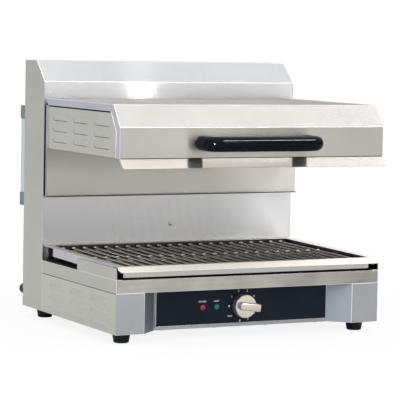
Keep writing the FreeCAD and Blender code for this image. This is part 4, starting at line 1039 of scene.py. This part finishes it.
def backdrop_floor():
    """A wide pale floor that stays white to the camera and keeps a faint shadow"""
    bm = bmesh.new()
    bmesh.ops.create_circle(bm, cap_ends=True, segments=64, radius=12)
    mesh = bpy.data.meshes.new("studio_floor")
    bm.to_mesh(mesh)
    bm.free()
    made, tree = blank("white_studio_paper")
    place = add(tree, "TexCoord").outputs["Object"]
    # Fibre flecks of 0.5 mm, drawn 25 mm wide
    fibre = add(tree, "TexNoise", {"Vector": place, "Scale": 40.0})
    pale = add(tree, "Mix", {SHARE: fibre, COLOUR_A: linear("F4F4F3"),
                             COLOUR_B: linear("F9F9F8")}, data_type="RGBA")
    paper = add(tree, "BsdfDiffuse", {"Color": pale.outputs[COLOUR_OUT]})
    glow = add(tree, "Emission", {"Color": WHITE, "Strength": 1.0})
    rays = add(tree, "LightPath")
    # White to the camera, but for a share of the shadow near the object
    reach = add(tree, "VectorMath", {0: place}, operation="LENGTH").outputs["Value"]
    share = add(tree, "MapRange", {"Value": reach, "From Min": 0.45, "From Max": 1.3,
                                   "To Min": 0.88, "To Max": 1.0},
                interpolation_type="SMOOTHSTEP")
    seen = add(tree, "Math", {0: rays.outputs["Is Camera Ray"], 1: share}, operation="MULTIPLY")
    blend = add(tree, "MixShader", {0: seen, 1: paper, 2: glow})
    add(tree, "OutputMaterial", {"Surface": blend})
    mesh.materials.append(made)
    floor = bpy.data.objects.new("studio_floor", mesh)
    bpy.context.scene.collection.objects.link(floor)


def studio_world():
    """White to the camera, and to metal a pale room: dim at the horizon, bright overhead"""
    world = bpy.data.worlds.new("studio")
    world.use_nodes = True
    tree = world.node_tree
    tree.nodes.clear()
    rays = add(tree, "LightPath")
    heading = add(tree, "SeparateXYZ", {0: add(tree, "TexCoord").outputs["Generated"]})
    height = heading.outputs["Z"]
    room = add(tree, "MapRange", {"Value": height, "From Min": 0.1, "From Max": 0.95,
                                  "To Min": 0.76, "To Max": 1.7},
               interpolation_type="SMOOTHSTEP")
    # The room is darker at its far right, up to head height. That dims the right ends of the
    # front faces. Turns are in radians from straight ahead of the object.
    ahead_share = add(tree, "Math", {0: heading.outputs["Y"], 1: -1.0}, operation="MULTIPLY")
    turned_by = add(tree, "Math", {0: heading.outputs["X"], 1: ahead_share}, operation="ARCTAN2")
    dim = add(tree, "MapRange", {"Value": turned_by, "From Min": 0.45, "From Max": 0.54,
                                 "To Min": 0.0, "To Max": 0.42},
              interpolation_type="SMOOTHSTEP")
    low_part = add(tree, "MapRange", {"Value": height, "From Min": 0.3, "From Max": 0.6,
                                      "To Min": 1.0, "To Max": 0.0},
                   interpolation_type="SMOOTHSTEP")
    lost = add(tree, "Math", {0: dim, 1: low_part}, operation="MULTIPLY")
    kept = add(tree, "Math", {0: 1.0, 1: lost}, operation="SUBTRACT")
    room = add(tree, "Math", {0: room, 1: kept}, operation="MULTIPLY")
    shiny = add(tree, "Math", {0: rays.outputs["Is Glossy Ray"],
                               1: rays.outputs["Is Transmission Ray"]}, operation="MAXIMUM")
    mirrored = add(tree, "Mix", {SHARE: shiny, FLOAT_A: 0.85, FLOAT_B: room}, data_type="FLOAT")
    power = add(tree, "Mix", {SHARE: rays.outputs["Is Camera Ray"], FLOAT_A: mirrored,
                              FLOAT_B: 1.0}, data_type="FLOAT")
    sky = add(tree, "Background", {"Color": WHITE, "Strength": power})
    add(tree, "OutputWorld", {"Surface": sky})
    bpy.context.scene.world = world


def softbox(name, spot, target, width, height, power):
    data = bpy.data.lights.new(name, "AREA")
    data.shape = "RECTANGLE"
    data.size = width
    data.size_y = height
    data.energy = power
    lamp = bpy.data.objects.new(name, data)
    bpy.context.scene.collection.objects.link(lamp)
    lamp.location = spot
    lamp.rotation_euler = (Vector(target) - Vector(spot)).to_track_quat("-Z", "Y").to_euler()
    return lamp


backdrop_floor()
studio_world()
# Name, place, what it points at, width, height and power, in metres and watts
for facts in (("overhead", (-0.4, -0.9, 2.6), (0, 0, 0.3), 2.4, 1.6, 14),
              ("front_fill", (-2.6, -3.2, 1.8), (0, 0, 0.25), 1.8, 1.8, 26),
              ("right_fill", (3.0, -2.0, 1.6), (0, 0, 0.25), 1.6, 1.6, 8),
              ("low_fill", (1.8, -3.6, 0.45), (0, 0, 0.3), 1.3, 0.6, 4.6),
              ("key", (2.04, -3.85, 2.35), (0, 0, 0.3), 0.08, 0.2, 3.6),
              ("tube", (1.45, -1.6, 2.7), (0, -0.2, 0.4), 2.4, 0.04, 9)):
    softbox(*facts)
# A strip for the long highlight on the black grip and a small lamp for its bright bend,
# flagged off from everything else
grip_only = bpy.data.collections.new("grip_only")
grip_only.objects.link(grip)
for facts in (("grip_strip", (1.45, -1.6, 2.7), (0, -0.28, 0.41), 0.8, 0.07, 80),
              ("grip_spot", (-2.2, -2.4, 0.56), (-0.13, -0.28, 0.4), 0.36, 0.36, 560)):
    softbox(*facts).light_linking.receiver_collection = grip_only
